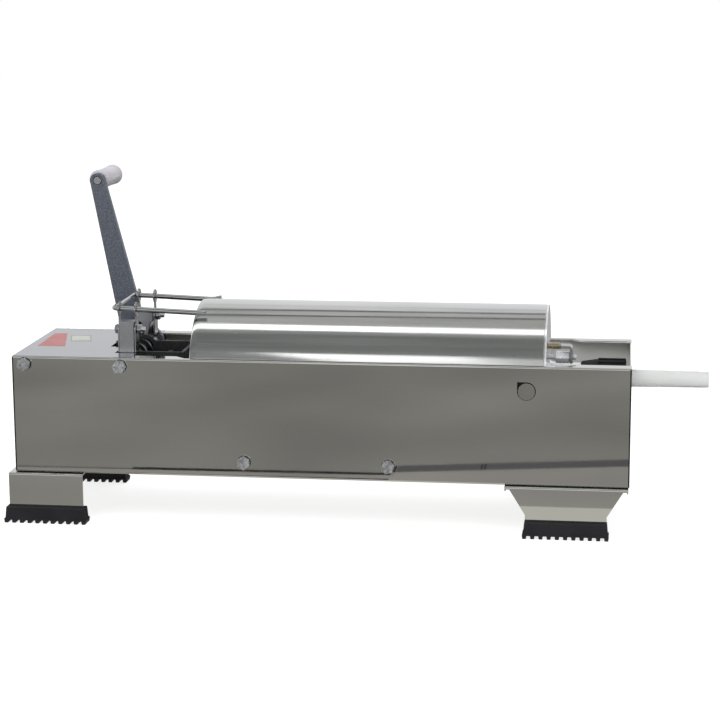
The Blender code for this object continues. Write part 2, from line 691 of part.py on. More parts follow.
def build_shoe(name, x, side):
    """A rubber shoe: a toothed sole and a body with a slot that grips the bracket's leg."""
    shoe = make_box(name, (SOLE_LENGTH, SOLE_WIDTH, SOLE_THICKNESS))
    finish(shoe, "rubber", (x, side * LEG_Y, SOLE_Z + SOLE_THICKNESS / 2))
    teeth = max(round(SOLE_LENGTH / SOLE_TOOTH_PITCH), 2)
    pitch = (SOLE_LENGTH - SOLE_TOOTH_LAND) / (teeth - 1)
    groove_width = pitch - SOLE_TOOTH_LAND
    groove = make_box(name + "_groove_tool",
                      (groove_width, SOLE_WIDTH + 2 * CUT_OVERRUN, 2 * SOLE_TOOTH_DEPTH), cutter=True)
    row = groove.modifiers.new("row", "ARRAY")
    row.use_relative_offset = False
    row.use_constant_offset = True
    row.constant_offset_displace = (pitch, 0, 0)
    row.count = teeth - 1
    first_x = x - SOLE_LENGTH / 2 + SOLE_TOOTH_LAND + groove_width / 2
    cut(shoe, finish(groove, None, (first_x, side * LEG_Y, SOLE_Z)))
    body_height = SHOE_HEIGHT - SOLE_THICKNESS + SHOE_TAPER
    low_z = SOLE_Z + SOLE_THICKNESS - SHOE_TAPER
    body = make_box(name + "_body", (SHOE_LENGTH, SHOE_WIDTH, body_height), cutter=True)
    for vertex in body.data.vertices:
        if vertex.co.z > 0:
            vertex.co.x *= 1 - SHOE_TAPER / (SHOE_LENGTH / 2)
            vertex.co.y *= 1 - SHOE_TAPER / (SHOE_WIDTH / 2)
    join(shoe, finish(body, None, (x, side * LEG_Y, low_z + body_height / 2)))
    slot_low = SOLE_Z + SHOE_HEIGHT - SHOE_SLOT_DEPTH
    half = SHEET / 2 + GAP
    cut(shoe, box_tool(name + "_slot_tool", (x - SOLE_LENGTH / 2 - CUT_OVERRUN, side * LEG_Y - half, slot_low),
                       (x + SOLE_LENGTH / 2 + CUT_OVERRUN, side * LEG_Y + half, SOLE_Z + SHOE_HEIGHT + CUT_OVERRUN)))
    return shoe


def build_cylinder():
    """The meat cylinder with an eased rear rim and a trunnion on each side."""
    outer = CYLINDER_RADIUS
    bore = CYLINDER_BORE_RADIUS
    turn = CYLINDER_WALL - GAP
    profile = [(bore, CYLINDER_LENGTH), (outer, CYLINDER_LENGTH)]
    for step in range(RIM_STEPS + 1):
        angle = step * pi / 2 / RIM_STEPS
        profile.append((outer - turn * (1 - cos(angle)), RIM_TURN * (1 - sin(angle))))
    profile.append((bore, GAP))
    tube = make_turned("cylinder", profile, LARGE_STEPS)
    finish(tube, "bright_sheet", (CYLINDER_REAR_X, 0, AXIS_Z), ALONG_X)
    reach = HALF_WIDTH - GAP
    for side, label in ((-1, "near"), (1, "far")):
        root = bore + CYLINDER_WALL / 2
        pin = make_drum(f"trunnion_{label}", TRUNNION_DIAMETER / 2, reach - root, MEDIUM_STEPS, cutter=True)
        finish(pin, None, (TRUNNION_X, side * (reach + root) / 2, AXIS_Z), ALONG_Y)
        join(tube, pin)
        collar_reach = outer + (INNER_HALF_WIDTH - outer) / 2
        collar = make_drum(f"trunnion_collar_{label}", TRUNNION_COLLAR / 2, collar_reach - root,
                           MEDIUM_STEPS, cutter=True)
        finish(collar, None, (TRUNNION_X, side * (collar_reach + root) / 2, AXIS_Z), ALONG_Y)
        join(tube, collar)
    return tube


def build_front_cap():
    """The cap that closes the cylinder's front, with a skirt inside the tube and the threaded spout."""
    skirt = CYLINDER_BORE_RADIUS - GAP
    front = CAP_LIP
    back = front - CAP_THICKNESS
    spout = SPOUT_DIAMETER / 2
    bore = SPOUT_BORE / 2
    profile = [(spout, SPOUT_LENGTH), (spout, front + SPOUT_FLARE), (spout + SPOUT_FLARE, front),
               (CYLINDER_RADIUS, front), (CYLINDER_RADIUS, 0), (skirt, 0), (skirt, -CAP_SKIRT),
               (skirt - CAP_THICKNESS, -CAP_SKIRT), (skirt - CAP_THICKNESS, back),
               (bore + SPOUT_FLARE, back), (bore, back + SPOUT_FLARE), (bore, SPOUT_LENGTH)]
    cap = make_turned("front_cap", profile, LARGE_STEPS)
    return finish(cap, "bright_sheet", (CYLINDER_FRONT_X + GAP, 0, AXIS_Z), ALONG_X)


def build_nozzle():
    """The tapered plastic nozzle with the flange that the ring nut holds."""
    root_x = nozzle_root()
    flange = NOZZLE_FLANGE
    neck = NOZZLE_NECK_X - root_x
    tip = NOZZLE_TIP_X - root_x
    wall = NOZZLE_WALL
    profile = [(NOZZLE_TIP_DIAMETER / 2, tip), (NOZZLE_NECK_DIAMETER / 2, neck), (NOZZLE_ROOT_DIAMETER / 2, flange),
               (NOZZLE_FLANGE_DIAMETER / 2, flange), (NOZZLE_FLANGE_DIAMETER / 2, 0),
               (NOZZLE_ROOT_DIAMETER / 2 - wall, 0), (NOZZLE_NECK_DIAMETER / 2 - wall, neck),
               (NOZZLE_TIP_DIAMETER / 2 - wall, tip)]
    nozzle = make_turned("nozzle", profile, MEDIUM_STEPS)
    return finish(nozzle, "nozzle_plastic", (root_x, 0, AXIS_Z), ALONG_X)


def nozzle_root():
    """Where the nozzle's flange starts, just clear of the spout's end."""
    return CYLINDER_FRONT_X + GAP + SPOUT_LENGTH + GAP


def build_ring_nut():
    """The black ring nut: a conical shoulder, a gripped barrel and a chamber for the nozzle's flange."""
    length = RING_FRONT_X - RING_REAR_X
    chamber_start = nozzle_root() - GAP / 2 - RING_REAR_X
    chamber_end = nozzle_root() + NOZZLE_FLANGE + GAP - RING_REAR_X
    outer = RING_DIAMETER / 2
    nose = RING_NOSE_BORE / 2
    chamber = NOZZLE_FLANGE_DIAMETER / 2 + GAP
    throat = SPOUT_DIAMETER / 2 + RUNNING_GAP
    profile = [(nose, length), (outer - RING_EDGE, length), (outer, length - RING_EDGE),
               (outer, RING_SHOULDER), (RING_SMALL_DIAMETER / 2, 0), (throat, 0), (throat, chamber_start),
               (chamber, chamber_start), (chamber, chamber_end), (nose, chamber_end)]
    nut = make_turned("ring_nut", profile, MEDIUM_STEPS)
    return finish(nut, "black_plastic", (RING_REAR_X, 0, AXIS_Z), ALONG_X)


def build_cap_clamp(side, label):
    """A clamp on the cap: a brass stud, a bracket bent inwards at its end and a screw with its nut.

    The far clamp lies diametrically opposite the near one, below the cylinder's axis.
    """
    y = side * CLAMP_Y
    up = -side
    z = AXIS_Z + up * CLAMP_RISE
    root_x = CAP_FACE_X + GAP
    stud = make_drum(f"clamp_stud_{label}", CLAMP_STUD_DIAMETER / 2, CLAMP_STUD_LENGTH, SMALL_STEPS)
    finish(stud, "brass", (root_x + CLAMP_STUD_LENGTH / 2, y, z), ALONG_X, smooth=radians(30))

    start_x = root_x + CLAMP_STUD_LENGTH + GAP
    end_x = root_x + CLAMP_REACH
    middle = CLAMP_THICKNESS / 2
    section = [(start_x, z)]
    section += bent_corner((end_x - middle, z), (1, 0), (0, -up), CLAMP_THICKNESS)
    section.append((end_x - middle, z - up * CLAMP_DROP))
    bracket = make_folded(f"clamp_bracket_{label}", section, CLAMP_WIDTH, CLAMP_THICKNESS)
    finish(bracket, "zinc", (0, y + CLAMP_WIDTH / 2, 0), SIDE_XZ, smooth=radians(30))
    screw_z = z - up * CLAMP_SCREW_DROP
    cut(bracket, drum_tool(f"clamp_hole_tool_{label}", CLAMP_SCREW_DIAMETER / 2 + GAP,
                           CLAMP_THICKNESS + 2 * CUT_OVERRUN, (end_x - middle, y, screw_z), ALONG_X, SMALL_STEPS))

    screw_length = end_x + CLAMP_SCREW_END - root_x
    screw = make_drum(f"clamp_screw_{label}", CLAMP_SCREW_DIAMETER / 2, screw_length, SMALL_STEPS)
    finish(screw, "zinc", (root_x + screw_length / 2, y, screw_z), ALONG_X)
    nut_end = end_x - CLAMP_THICKNESS - GAP
    nut = make_drum(f"clamp_nut_{label}", CLAMP_NUT_WIDTH / sqrt(3), CLAMP_NUT_LENGTH, 6, cutter=True)
    join(screw, finish(nut, None, (nut_end - CLAMP_NUT_LENGTH / 2, y, screw_z), ALONG_X))
    return stud, bracket, screw


def build_cross_rod(name, x, z, half_length):
    """A round bar from wall to wall, with a threaded hole in each end for a wall screw."""
    rod = make_drum(name, ROD_DIAMETER / 2, 2 * half_length, SMALL_STEPS)
    finish(rod, "steel", (x, 0, z), ALONG_Y, smooth=radians(30))
    tap_ends(rod, name, x, z, half_length)
    return rod


def tap_ends(rod, name, x, z, half_length):
    """Bore the screw holes into both ends of a cross bar."""
    depth = SCREW_GRIP + GAP
    for side, label in ((-1, "near"), (1, "far")):
        centre_y = side * (half_length - (depth - CUT_OVERRUN) / 2)
        cut(rod, drum_tool(f"{name}_tap_tool_{label}", SCREW_DIAMETER / 2 + GAP, depth + CUT_OVERRUN,
                           (x, centre_y, z), ALONG_Y, SMALL_STEPS))


def build_wall_screw(name, x, z, side):
    """A hexagon screw with a washer face, through the wall into a cross bar."""
    face = HALF_WIDTH + GAP
    tip = INNER_HALF_WIDTH - SCREW_GRIP
    inside = face + SCREW_WASHER_HEIGHT / 2
    shank = make_drum(name, SCREW_DIAMETER / 2, inside - tip, SMALL_STEPS)
    finish(shank, "zinc", (x, side * (inside + tip) / 2, z), ALONG_Y)
    washer = make_drum(name + "_washer", SCREW_WASHER / 2, SCREW_WASHER_HEIGHT, SMALL_STEPS, cutter=True)
    join(shank, finish(washer, None, (x, side * (face + SCREW_WASHER_HEIGHT / 2), z), ALONG_Y))
    head_end = face + SCREW_WASHER_HEIGHT + SCREW_HEAD_HEIGHT
    head = make_drum(name + "_head", SCREW_HEAD / sqrt(3), head_end - inside, 6, cutter=True)
    join(shank, finish(head, None, (x, side * (head_end + inside) / 2, z), ALONG_Y))
    return shank


def build_mechanism_frame():
    """The black welded frame on the floor that carries the guide bushes and the pivot shaft."""
    low = FLOOR_Z + GAP
    high = -FRAME_TOP_DROP
    half = FRAME_HALF_WIDTH
    plate = FRAME_PLATE
    length = FRAME_FRONT_X - FRAME_REAR_X
    centre_x = (FRAME_FRONT_X + FRAME_REAR_X) / 2
    frame = make_box("mechanism_frame", (length, 2 * half, high - low))
    finish(frame, "frame_paint", (centre_x, 0, (low + high) / 2))
    cut(frame, box_tool("frame_hollow_tool", (FRAME_REAR_X + plate, -half + plate, low + plate),
                        (FRAME_FRONT_X - plate, half - plate, high + CUT_OVERRUN)))
    wing = make_box("frame_wing", (length, 2 * (half + FRAME_BASE_FLANGE), plate), cutter=True)
    join(frame, finish(wing, None, (centre_x, 0, low + plate / 2)))
    for side, label in ((-1, "near"), (1, "far")):
        ear = make_drum(f"frame_ear_{label}", FRAME_EAR_RADIUS, plate, SMALL_STEPS, cutter=True)
        join(frame, finish(ear, None, (PIVOT_X, side * (half - plate / 2), PIVOT_Z), ALONG_Y))
    bores = ((-1, PIVOT_SHAFT_DIAMETER / 2 + GAP, "near"), (1, HUB_DIAMETER / 2 + RUNNING_GAP, "far"))
    for side, radius, label in bores:
        cut(frame, drum_tool(f"frame_pivot_tool_{label}", radius, plate + 2 * CUT_OVERRUN,
                             (PIVOT_X, side * (half - plate / 2), PIVOT_Z), ALONG_Y))
    for x, label in ((FRAME_REAR_X, "rear"), (FRAME_FRONT_X, "front")):
        cut(frame, drum_tool(f"frame_bush_tool_{label}", BUSH_DIAMETER / 2 + GAP, 2 * (plate + CUT_OVERRUN),
                             (x, 0, AXIS_Z), ALONG_X))
    pin = make_drum("lock_pin", LOCK_PIN_DIAMETER / 2, 2 * half - plate, SMALL_STEPS, cutter=True)
    join(frame, finish(pin, None, (LOCK_X, 0, AXIS_Z - LOCK_PIVOT_DEPTH), ALONG_Y))
    return frame


def build_guide_bush(name, face_x, outward):
    """A flanged brass bush in the frame's end wall, guiding the push rod."""
    bore = PUSH_ROD_DIAMETER / 2 + RUNNING_GAP
    outer = BUSH_DIAMETER / 2
    flange = BUSH_FLANGE_DIAMETER / 2
    plate = FRAME_PLATE
    profile = [(bore, BUSH_FLANGE), (flange, BUSH_FLANGE), (flange, GAP), (outer, GAP), (outer, -plate), (bore, -plate)]
    bush = make_turned(name, profile, MEDIUM_STEPS)
    turn = ALONG_X if outward > 0 else (0, -pi / 2, 0)
    return finish(bush, "brass", (face_x, 0, AXIS_Z), turn)


def build_push_rod():
    """The smooth push rod, stepped down to a stud that carries the piston."""
    radius = PUSH_ROD_DIAMETER / 2
    stud = PISTON_STUD_DIAMETER / 2
    shoulder = PISTON_X - PUSH_ROD_REAR_X
    end = shoulder + PISTON_STUD_LENGTH
    profile = [(0, end), (stud - PUSH_ROD_CHAMFER, end), (stud, end - PUSH_ROD_CHAMFER), (stud, shoulder),
               (radius, shoulder), (radius, PUSH_ROD_CHAMFER), (radius - PUSH_ROD_CHAMFER, 0), (0, 0)]
    rod = make_turned("push_rod", profile, MEDIUM_STEPS, closed=False)
    return finish(rod, "chrome", (PUSH_ROD_REAR_X, 0, AXIS_Z), ALONG_X)


def build_piston():
    """The piston disc with a groove for its seal and a shallow dish in front."""
    outer = CYLINDER_BORE_RADIUS - PISTON_CLEARANCE
    bore = PISTON_STUD_DIAMETER / 2 + GAP
    low = GAP
    high = low + PISTON_THICKNESS
    groove_low = (low + high - SEAL_WIDTH) / 2
    groove_high = groove_low + SEAL_WIDTH
    floor = outer - SEAL_DEPTH
    boss = PISTON_NUT_WIDTH
    profile = [(bore, high), (boss, high), (boss + PISTON_DISH, high - PISTON_DISH),
               (floor - 2 * PISTON_DISH, high - PISTON_DISH), (floor - PISTON_DISH, high), (outer, high),
               (outer, groove_high), (floor, groove_high), (floor, groove_low), (outer, groove_low), (outer, low),
               (bore, low)]
    piston = make_turned("piston", profile, LARGE_STEPS)
    finish(piston, "bright_sheet", (PISTON_X, 0, AXIS_Z), ALONG_X)

    rim = CYLINDER_BORE_RADIUS - GAP
    seat = floor + GAP
    seal_low = groove_low + GAP
    seal_high = groove_high - GAP
    crown = (rim - seat) / 4
    profile = [(seat, seal_high), (rim - crown, seal_high), (rim, seal_high - crown), (rim, seal_low + crown),
               (rim - crown, seal_low), (seat, seal_low)]
    seal = make_turned("piston_seal", profile, LARGE_STEPS)
    finish(seal, "seal", (PISTON_X, 0, AXIS_Z), ALONG_X)

    nut = make_drum("piston_nut", PISTON_NUT_WIDTH / sqrt(3), PISTON_NUT_HEIGHT, 6)
    nut_x = PISTON_X + high + GAP + PISTON_NUT_HEIGHT / 2
    finish(nut, "zinc", (nut_x, 0, AXIS_Z), ALONG_X)
    cut(nut, drum_tool("piston_nut_tool", bore, PISTON_NUT_HEIGHT + 2 * CUT_OVERRUN, (nut_x, 0, AXIS_Z), ALONG_X,
                       SMALL_STEPS))
    return piston, seal, nut


def tapered_link(start, start_radius, end, end_radius, count=SMALL_STEPS):
    """The outline of a flat link: two round ends of unlike radius joined by their common tangents."""
    along = Vector(end) - Vector(start)
    heading = atan2(along.y, along.x)
    lean = pi / 2 - (start_radius - end_radius) / along.length
    return (arc(end, end_radius, heading - lean, heading + lean, count)
            + arc(start, start_radius, heading + lean, heading + tau - lean, count))


def lever_knee():
    """Where the lever's straight blade bends forward to its boss."""
    drop = LEVER_EYE_RISE - LEVER_KNEE_RISE
    return LEVER_EYE_X + drop * sin(LEVER_ANGLE) / cos(LEVER_ANGLE), LEVER_KNEE_RISE


def build_lever():
    """The hand lever: a tapering flat bar, cranked forward at its foot to the boss on the pivot."""
    eye = (LEVER_EYE_X, LEVER_EYE_RISE)
    knee = lever_knee()
    boss = (PIVOT_X, PIVOT_Z)
    y = (LEVER_NEAR_Y + LEVER_FAR_Y) / 2
    lever = make_plate("lever", [tapered_link(knee, LEVER_KNEE_RADIUS, eye, LEVER_EYE_RADIUS)], LEVER_THICKNESS)
    finish(lever, "lever_paint", (0, y, 0), SIDE_XZ, pivot="lever")
    crank = make_plate("lever_crank", [tapered_link(boss, LEVER_BOSS_RADIUS, knee, LEVER_KNEE_RADIUS)],
                       LEVER_THICKNESS, cutter=True)
    finish(crank, None, (0, y, 0), SIDE_XZ, pivot="lever")
    join(lever, crank)
    through = LEVER_THICKNESS + 2 * CUT_OVERRUN
    cut(lever, drum_tool("lever_pivot_tool", HUB_DIAMETER / 2 + GAP, through, (PIVOT_X, y, PIVOT_Z), ALONG_Y))
    cut(lever, drum_tool("lever_eye_tool", GRIP_BOLT_DIAMETER / 2 + GAP, through,
                         (LEVER_EYE_X, y, LEVER_EYE_RISE), ALONG_Y, SMALL_STEPS))
    return lever


def build_crank_fork():
    """The tube that turns on the pivot shaft with the lever, and its two arms that push the drive plate."""
    far_y = LEVER_FAR_Y + GAP
    length = far_y + HUB_NEAR_Y
    tube = make_drum("crank_fork", HUB_DIAMETER / 2, length, MEDIUM_STEPS)
    centre_y = (far_y - HUB_NEAR_Y) / 2
    finish(tube, "steel", (PIVOT_X, centre_y, PIVOT_Z), ALONG_Y, pivot="lever", smooth=radians(30))
    tip = (ARM_TIP_X, ARM_TIP_Z)
    for side, label in ((-1, "near"), (1, "far")):
        outline = tapered_link((PIVOT_X, PIVOT_Z), ARM_ROOT_RADIUS, tip, ARM_TIP_RADIUS)
        arm = make_plate(f"crank_arm_{label}", [outline], ARM_THICKNESS, cutter=True)
        finish(arm, None, (0, side * (ARM_NEAR_Y + ARM_THICKNESS / 2), 0), SIDE_XZ, pivot="lever")
        join(tube, arm)
    cut(tube, drum_tool("crank_bore_tool", PIVOT_SHAFT_DIAMETER / 2 + RUNNING_GAP, length + 2 * CUT_OVERRUN,
                        (PIVOT_X, centre_y, PIVOT_Z), ALONG_Y))
    return tube


def build_pivot():
    """The pivot shaft from wall to wall and the two spacers that keep the posts and the lever in place."""
    half = COVER_HALF_WIDTH - SHEET - GAP
    shaft = make_drum("pivot_shaft", PIVOT_SHAFT_DIAMETER / 2, 2 * half, MEDIUM_STEPS)
    finish(shaft, "steel", (PIVOT_X, 0, PIVOT_Z), ALONG_Y, smooth=radians(30))
    tap_ends(shaft, "pivot_shaft", PIVOT_X, PIVOT_Z, half)
    bore = PIVOT_SHAFT_DIAMETER / 2 + GAP
    near_start = POST_Y + POST_DEPTH / 2 + GAP
    far_start = LEVER_FAR_Y + 2 * GAP + RUNNING_GAP
    for side, start, label in ((-1, near_start, "near"), (1, far_start, "far")):
        length = half - BEND_RADIUS / 2 - start
        profile = [(bore, length), (SPACER_DIAMETER / 2, length), (SPACER_DIAMETER / 2, 0), (bore, 0)]
        spacer = make_turned(f"{label}_spacer", profile, MEDIUM_STEPS)
        turn = (-pi / 2 * side, 0, 0)
        finish(spacer, "zinc", (PIVOT_X, side * start, PIVOT_Z), turn)


def build_grip():
    """The round plastic grip that turns on its shouldered bolt."""
    eye = (LEVER_EYE_X, LEVER_EYE_RISE)
    radius = GRIP_DIAMETER / 2
    bore = GRIP_BORE / 2
    sink = GRIP_BOLT_HEAD / 2 + RUNNING_GAP
    length = GRIP_LENGTH
    waist = radius * GRIP_WAIST_SHARE
    profile = [(sink, length), (radius - GRIP_EDGE, length), (radius, length - GRIP_EDGE), (waist, length / 2),
               (radius, GRIP_EDGE), (radius - GRIP_EDGE, 0), (bore, 0), (bore, length - GRIP_COUNTERSINK),
               (sink, length - GRIP_COUNTERSINK)]
    grip = make_turned("grip", profile, MEDIUM_STEPS)
    finish(grip, "pale_plastic", (eye[0], GRIP_NEAR_Y, eye[1]), (-pi / 2, 0, 0), pivot="grip")

    shank = GRIP_BOLT_DIAMETER / 2
    head = GRIP_BOLT_HEAD / 2
    head_low = GRIP_NEAR_Y + length - GRIP_COUNTERSINK + GAP - LEVER_NEAR_Y
    head_high = head_low + GRIP_BOLT_HEAD_HEIGHT
    profile = [(0, head_high), (head, head_high), (head, head_low), (shank, head_low), (shank, 0), (0, 0)]
    bolt = make_turned("grip_bolt", profile, SMALL_STEPS, closed=False)
    finish(bolt, "zinc", (eye[0], LEVER_NEAR_Y, eye[1]), (-pi / 2, 0, 0), pivot="lever")
    return grip, bolt


def build_posts():
    """The near post, a square bar, and the far post with a wide head on a tapering stem."""
    near_height = NEAR_POST_TOP + NEAR_POST_BOTTOM
    inner_y = FRAME_HALF_WIDTH + GAP
    outer_y = POST_Y + POST_DEPTH / 2
    depth = outer_y - inner_y
    centre_y = (outer_y + inner_y) / 2
    near = make_box("near_post", (POST_WIDTH, depth, near_height))
    finish(near, "steel", (PIVOT_X, -centre_y, (NEAR_POST_TOP - NEAR_POST_BOTTOM) / 2))
    soften(near, POST_EDGE, 1)
    cut(near, drum_tool("near_post_pivot_tool", PIVOT_SHAFT_DIAMETER / 2 + GAP, depth + 2 * CUT_OVERRUN,
                        (PIVOT_X, -centre_y, PIVOT_Z), ALONG_Y))
    cut(near, strap_bolt_tool("near_post_bolt_tool", -POST_Y))

    half = POST_WIDTH / 2
    head_low = FAR_HEAD_TOP - FAR_HEAD_HEIGHT
    stem_top = FAR_STEM_TOP / 2
    stem_low = FAR_STEM_BOTTOM / 2
    lead = atan2(stem_low, FAR_BOSS_RADIUS)
    fillet = half - stem_top
    right_fillet = [(stem_top + x, head_low - fillet + z)
                    for x, z in arc((fillet, 0), fillet, pi, pi / 2, BEND_STEPS)]
    outline = [(-half, FAR_HEAD_TOP), (half, FAR_HEAD_TOP)]
    outline += [(x, z) for x, z in reversed(right_fillet)]
    outline += arc((0, PIVOT_Z), FAR_BOSS_RADIUS, pi / 2 - lead, lead - 3 * pi / 2, MEDIUM_STEPS)
    outline += [(-x, z) for x, z in right_fillet]
    far_outer_y = LEVER_NEAR_Y - GAP
    far_y = (far_outer_y + inner_y) / 2
    bore = ring((0, PIVOT_Z), HUB_DIAMETER / 2 + RUNNING_GAP, MEDIUM_STEPS)
    far = make_plate("far_post", [outline, bore], far_outer_y - inner_y)
    finish(far, "steel", (PIVOT_X, far_y, 0), SIDE_XZ, smooth=radians(30))
    cut(far, strap_bolt_tool("far_post_bolt_tool", POST_Y))
    return near, far


def strap_bolt_tool(name, y):
    """The bore along X that a strap bolt passes."""
    return drum_tool(name, STRAP_BOLT_DIAMETER / 2 + GAP, POST_WIDTH + 2 * CUT_OVERRUN,
                     (PIVOT_X, y, STRAP_BOLT_RISE), ALONG_X, SMALL_STEPS)


def latch_height(x):
    """Height of the latch rod's centre at a station; the rod falls slightly towards the cylinder."""
    return LATCH_RISE + LATCH_SLOPE_SHARE * (LATCH_TIP_X - x)


def build_straps(side, label, bottom):
    """Two upright straps on a post, with the bolt and nut that clamp them and the guide holes of the latch."""
    y = side * POST_Y
    half = STRAP_WIDTH / 2
    bolt_hole = ring((0, STRAP_BOLT_RISE), STRAP_BOLT_DIAMETER / 2 + GAP)
    offset = POST_WIDTH / 2 + GAP + STRAP_THICKNESS / 2
    for direction, place in ((-1, "rear"), (1, "front")):
        x = PIVOT_X + direction * offset
        centre = (0, latch_height(x))
        outline = [(-half, bottom), (half, bottom)] + arc(centre, half, 0, pi, SMALL_STEPS)
        latch_hole = ring(centre, LATCH_DIAMETER / 2 + RUNNING_GAP)
        strap = make_plate(f"{label}_{place}_strap", [outline, latch_hole, bolt_hole], STRAP_THICKNESS)
        finish(strap, "zinc", (x, y, 0), SECTION_YZ, smooth=radians(30))
    outer = offset + STRAP_THICKNESS / 2 + GAP
    sunk = STRAP_BOLT_HEAD_HEIGHT / 2
    length = sunk + 2 * outer + STRAP_BOLT_END
    bolt = make_drum(f"{label}_strap_bolt", STRAP_BOLT_DIAMETER / 2, length, SMALL_STEPS)
    finish(bolt, "zinc", (PIVOT_X - outer - sunk + length / 2, y, STRAP_BOLT_RISE), ALONG_X)
    head = make_drum(f"{label}_strap_head", STRAP_BOLT_HEAD / sqrt(3), STRAP_BOLT_HEAD_HEIGHT, 6, cutter=True)
    head_x = PIVOT_X - outer - STRAP_BOLT_HEAD_HEIGHT / 2
    join(bolt, finish(head, None, (head_x, y, STRAP_BOLT_RISE), ALONG_X))
    nut = make_drum(f"{label}_strap_nut", STRAP_BOLT_HEAD / sqrt(3), STRAP_NUT_HEIGHT, 6)
    nut_x = PIVOT_X + outer + STRAP_NUT_HEIGHT / 2
    finish(nut, "zinc", (nut_x, y, STRAP_BOLT_RISE), ALONG_X)
    cut(nut, drum_tool(f"{label}_strap_nut_tool", STRAP_BOLT_DIAMETER / 2 + GAP,
                       STRAP_NUT_HEIGHT + 2 * CUT_OVERRUN, (nut_x, y, STRAP_BOLT_RISE), ALONG_X, SMALL_STEPS))


def build_latch_fork():
    """The chromed U-shaped rod that slides in the straps and reaches over the cylinder's rim."""
    bend = LATCH_BEND
    half = POST_Y
    path = [(LATCH_TIP_X, -half)]
    path += arc((LATCH_REAR_X + bend, -half + bend), bend, -pi / 2, -pi, BEND_STEPS * 2)
    path += arc((LATCH_REAR_X + bend, half - bend), bend, pi, pi / 2, BEND_STEPS * 2)
    path.append((LATCH_TIP_X - LATCH_FLICK_LENGTH, half))
    points = [(x, y, latch_height(x)) for x, y in path]
    points.append((LATCH_TIP_X, half, LATCH_RISE + LATCH_FLICK_RISE))
    fork = make_wire("latch_fork", points, LATCH_DIAMETER / 2, 3)
    return finish(fork, "chrome", (0, 0, 0))


def build_drive_plate():
    """The drive plate that grips the push rod and carries it forward."""
    half = DRIVE_WIDTH / 2
    outline = [(-half, -DRIVE_BELOW_AXIS), (half, -DRIVE_BELOW_AXIS), (half, DRIVE_ABOVE_AXIS),
               (-half, DRIVE_ABOVE_AXIS)]
    plate = make_plate("drive_plate", [outline, ring((0, 0), DRIVE_HOLE / 2, MEDIUM_STEPS)], DRIVE_THICKNESS)
    return finish(plate, "steel", (DRIVE_X, 0, AXIS_Z), SECTION_YZ)


def build_lock_plate():
    """The leaning lock plate: it hooks over the frame's pin, holds the rod and ends in a thumb tab."""
    half = LOCK_WIDTH / 2
    tab = LOCK_TAB_WIDTH / 2
    up = LOCK_PIVOT_DEPTH
    tab_top = up + CYLINDER_DROP + LOCK_TAB_RISE
    shoulder = up + LOCK_SHOULDER
    outline = [(-half, 0), (half, 0), (half, shoulder), (tab, shoulder), (tab, tab_top), (-tab, tab_top),
               (-tab, shoulder), (-half, shoulder)]
    spring_rise = up + CYLINDER_DROP - LOCK_SPRING_DROP
    holes = [ring((0, up), LOCK_HOLE / 2, MEDIUM_STEPS),
             ring((0, spring_rise), LOCK_SPRING_WIRE + RUNNING_GAP, SMALL_STEPS // 2)]
    plate = make_plate("lock_plate", [outline] + holes, LOCK_THICKNESS)
    lean = -LOCK_LEAN
    finish(plate, "steel", (LOCK_X, 0, AXIS_Z - LOCK_PIVOT_DEPTH), SECTION_YZ, pivot="lock")
    PIVOTS["lock"].rotation_euler = (0, lean, 0)
    hook = make_drum("lock_hook", LOCK_HOOK_RADIUS, LOCK_WIDTH, MEDIUM_STEPS, cutter=True)
    join(plate, finish(hook, None, (LOCK_X, 0, AXIS_Z - LOCK_PIVOT_DEPTH), ALONG_Y))
    cut(plate, drum_tool("lock_hook_tool", LOCK_PIN_DIAMETER / 2 + RUNNING_GAP, LOCK_WIDTH + 2 * CUT_OVERRUN,
                         (LOCK_X, 0, AXIS_Z - LOCK_PIVOT_DEPTH), ALONG_Y, SMALL_STEPS))
    return plate


def helix(radius, turns, start, end, phase=0):
    """Points of an open coil along local X, at a steady pitch between two stations."""
    count = turns * CURL_POINTS
    return [(start + (end - start) * step / count,
             radius * cos(phase + tau * step / CURL_POINTS),
             radius * sin(phase + tau * step / CURL_POINTS)) for step in range(count + 1)]


def least_self_gap(points, wire_radius):
    """The least free space between turns of a coil, measured on its points."""
    least = None
    apart = CURL_POINTS // 2
    for first in range(len(points)):
        for second in range(first + apart, len(points)):
            space = (Vector(points[first]) - Vector(points[second])).length - 2 * wire_radius
            least = space if least is None else min(least, space)
    return least


def build_springs():
    """The drive plate's return spring round the rod, and the thin spring that draws the lock plate back."""
    wire = DRIVE_SPRING_WIRE
    start = DRIVE_X + DRIVE_THICKNESS / 2 + GAP + wire
    end = FRAME_FRONT_X - FRAME_PLATE - GAP - wire
    points = helix(DRIVE_SPRING_RADIUS, DRIVE_SPRING_TURNS, start, end)
    print("drive spring least gap", least_self_gap(points, wire))
    finish(make_wire("drive_spring", points, wire, 1), "steel", (0, 0, AXIS_Z))

    wire = LOCK_SPRING_WIRE
    hook_rise = LOCK_PIVOT_DEPTH + CYLINDER_DROP - LOCK_SPRING_DROP
    plate_x = LOCK_X - hook_rise * sin(LOCK_LEAN) - LOCK_THICKNESS / 2 / cos(LOCK_LEAN)
    start = FRAME_REAR_X + FRAME_PLATE + GAP + wire
    end = plate_x - GAP - wire
    points = helix(LOCK_SPRING_RADIUS, LOCK_SPRING_TURNS, start, end)
    print("lock spring least gap", least_self_gap(points, wire))
    finish(make_wire("lock_spring", points, wire, 1), "steel", (0, 0, -LOCK_SPRING_DROP))


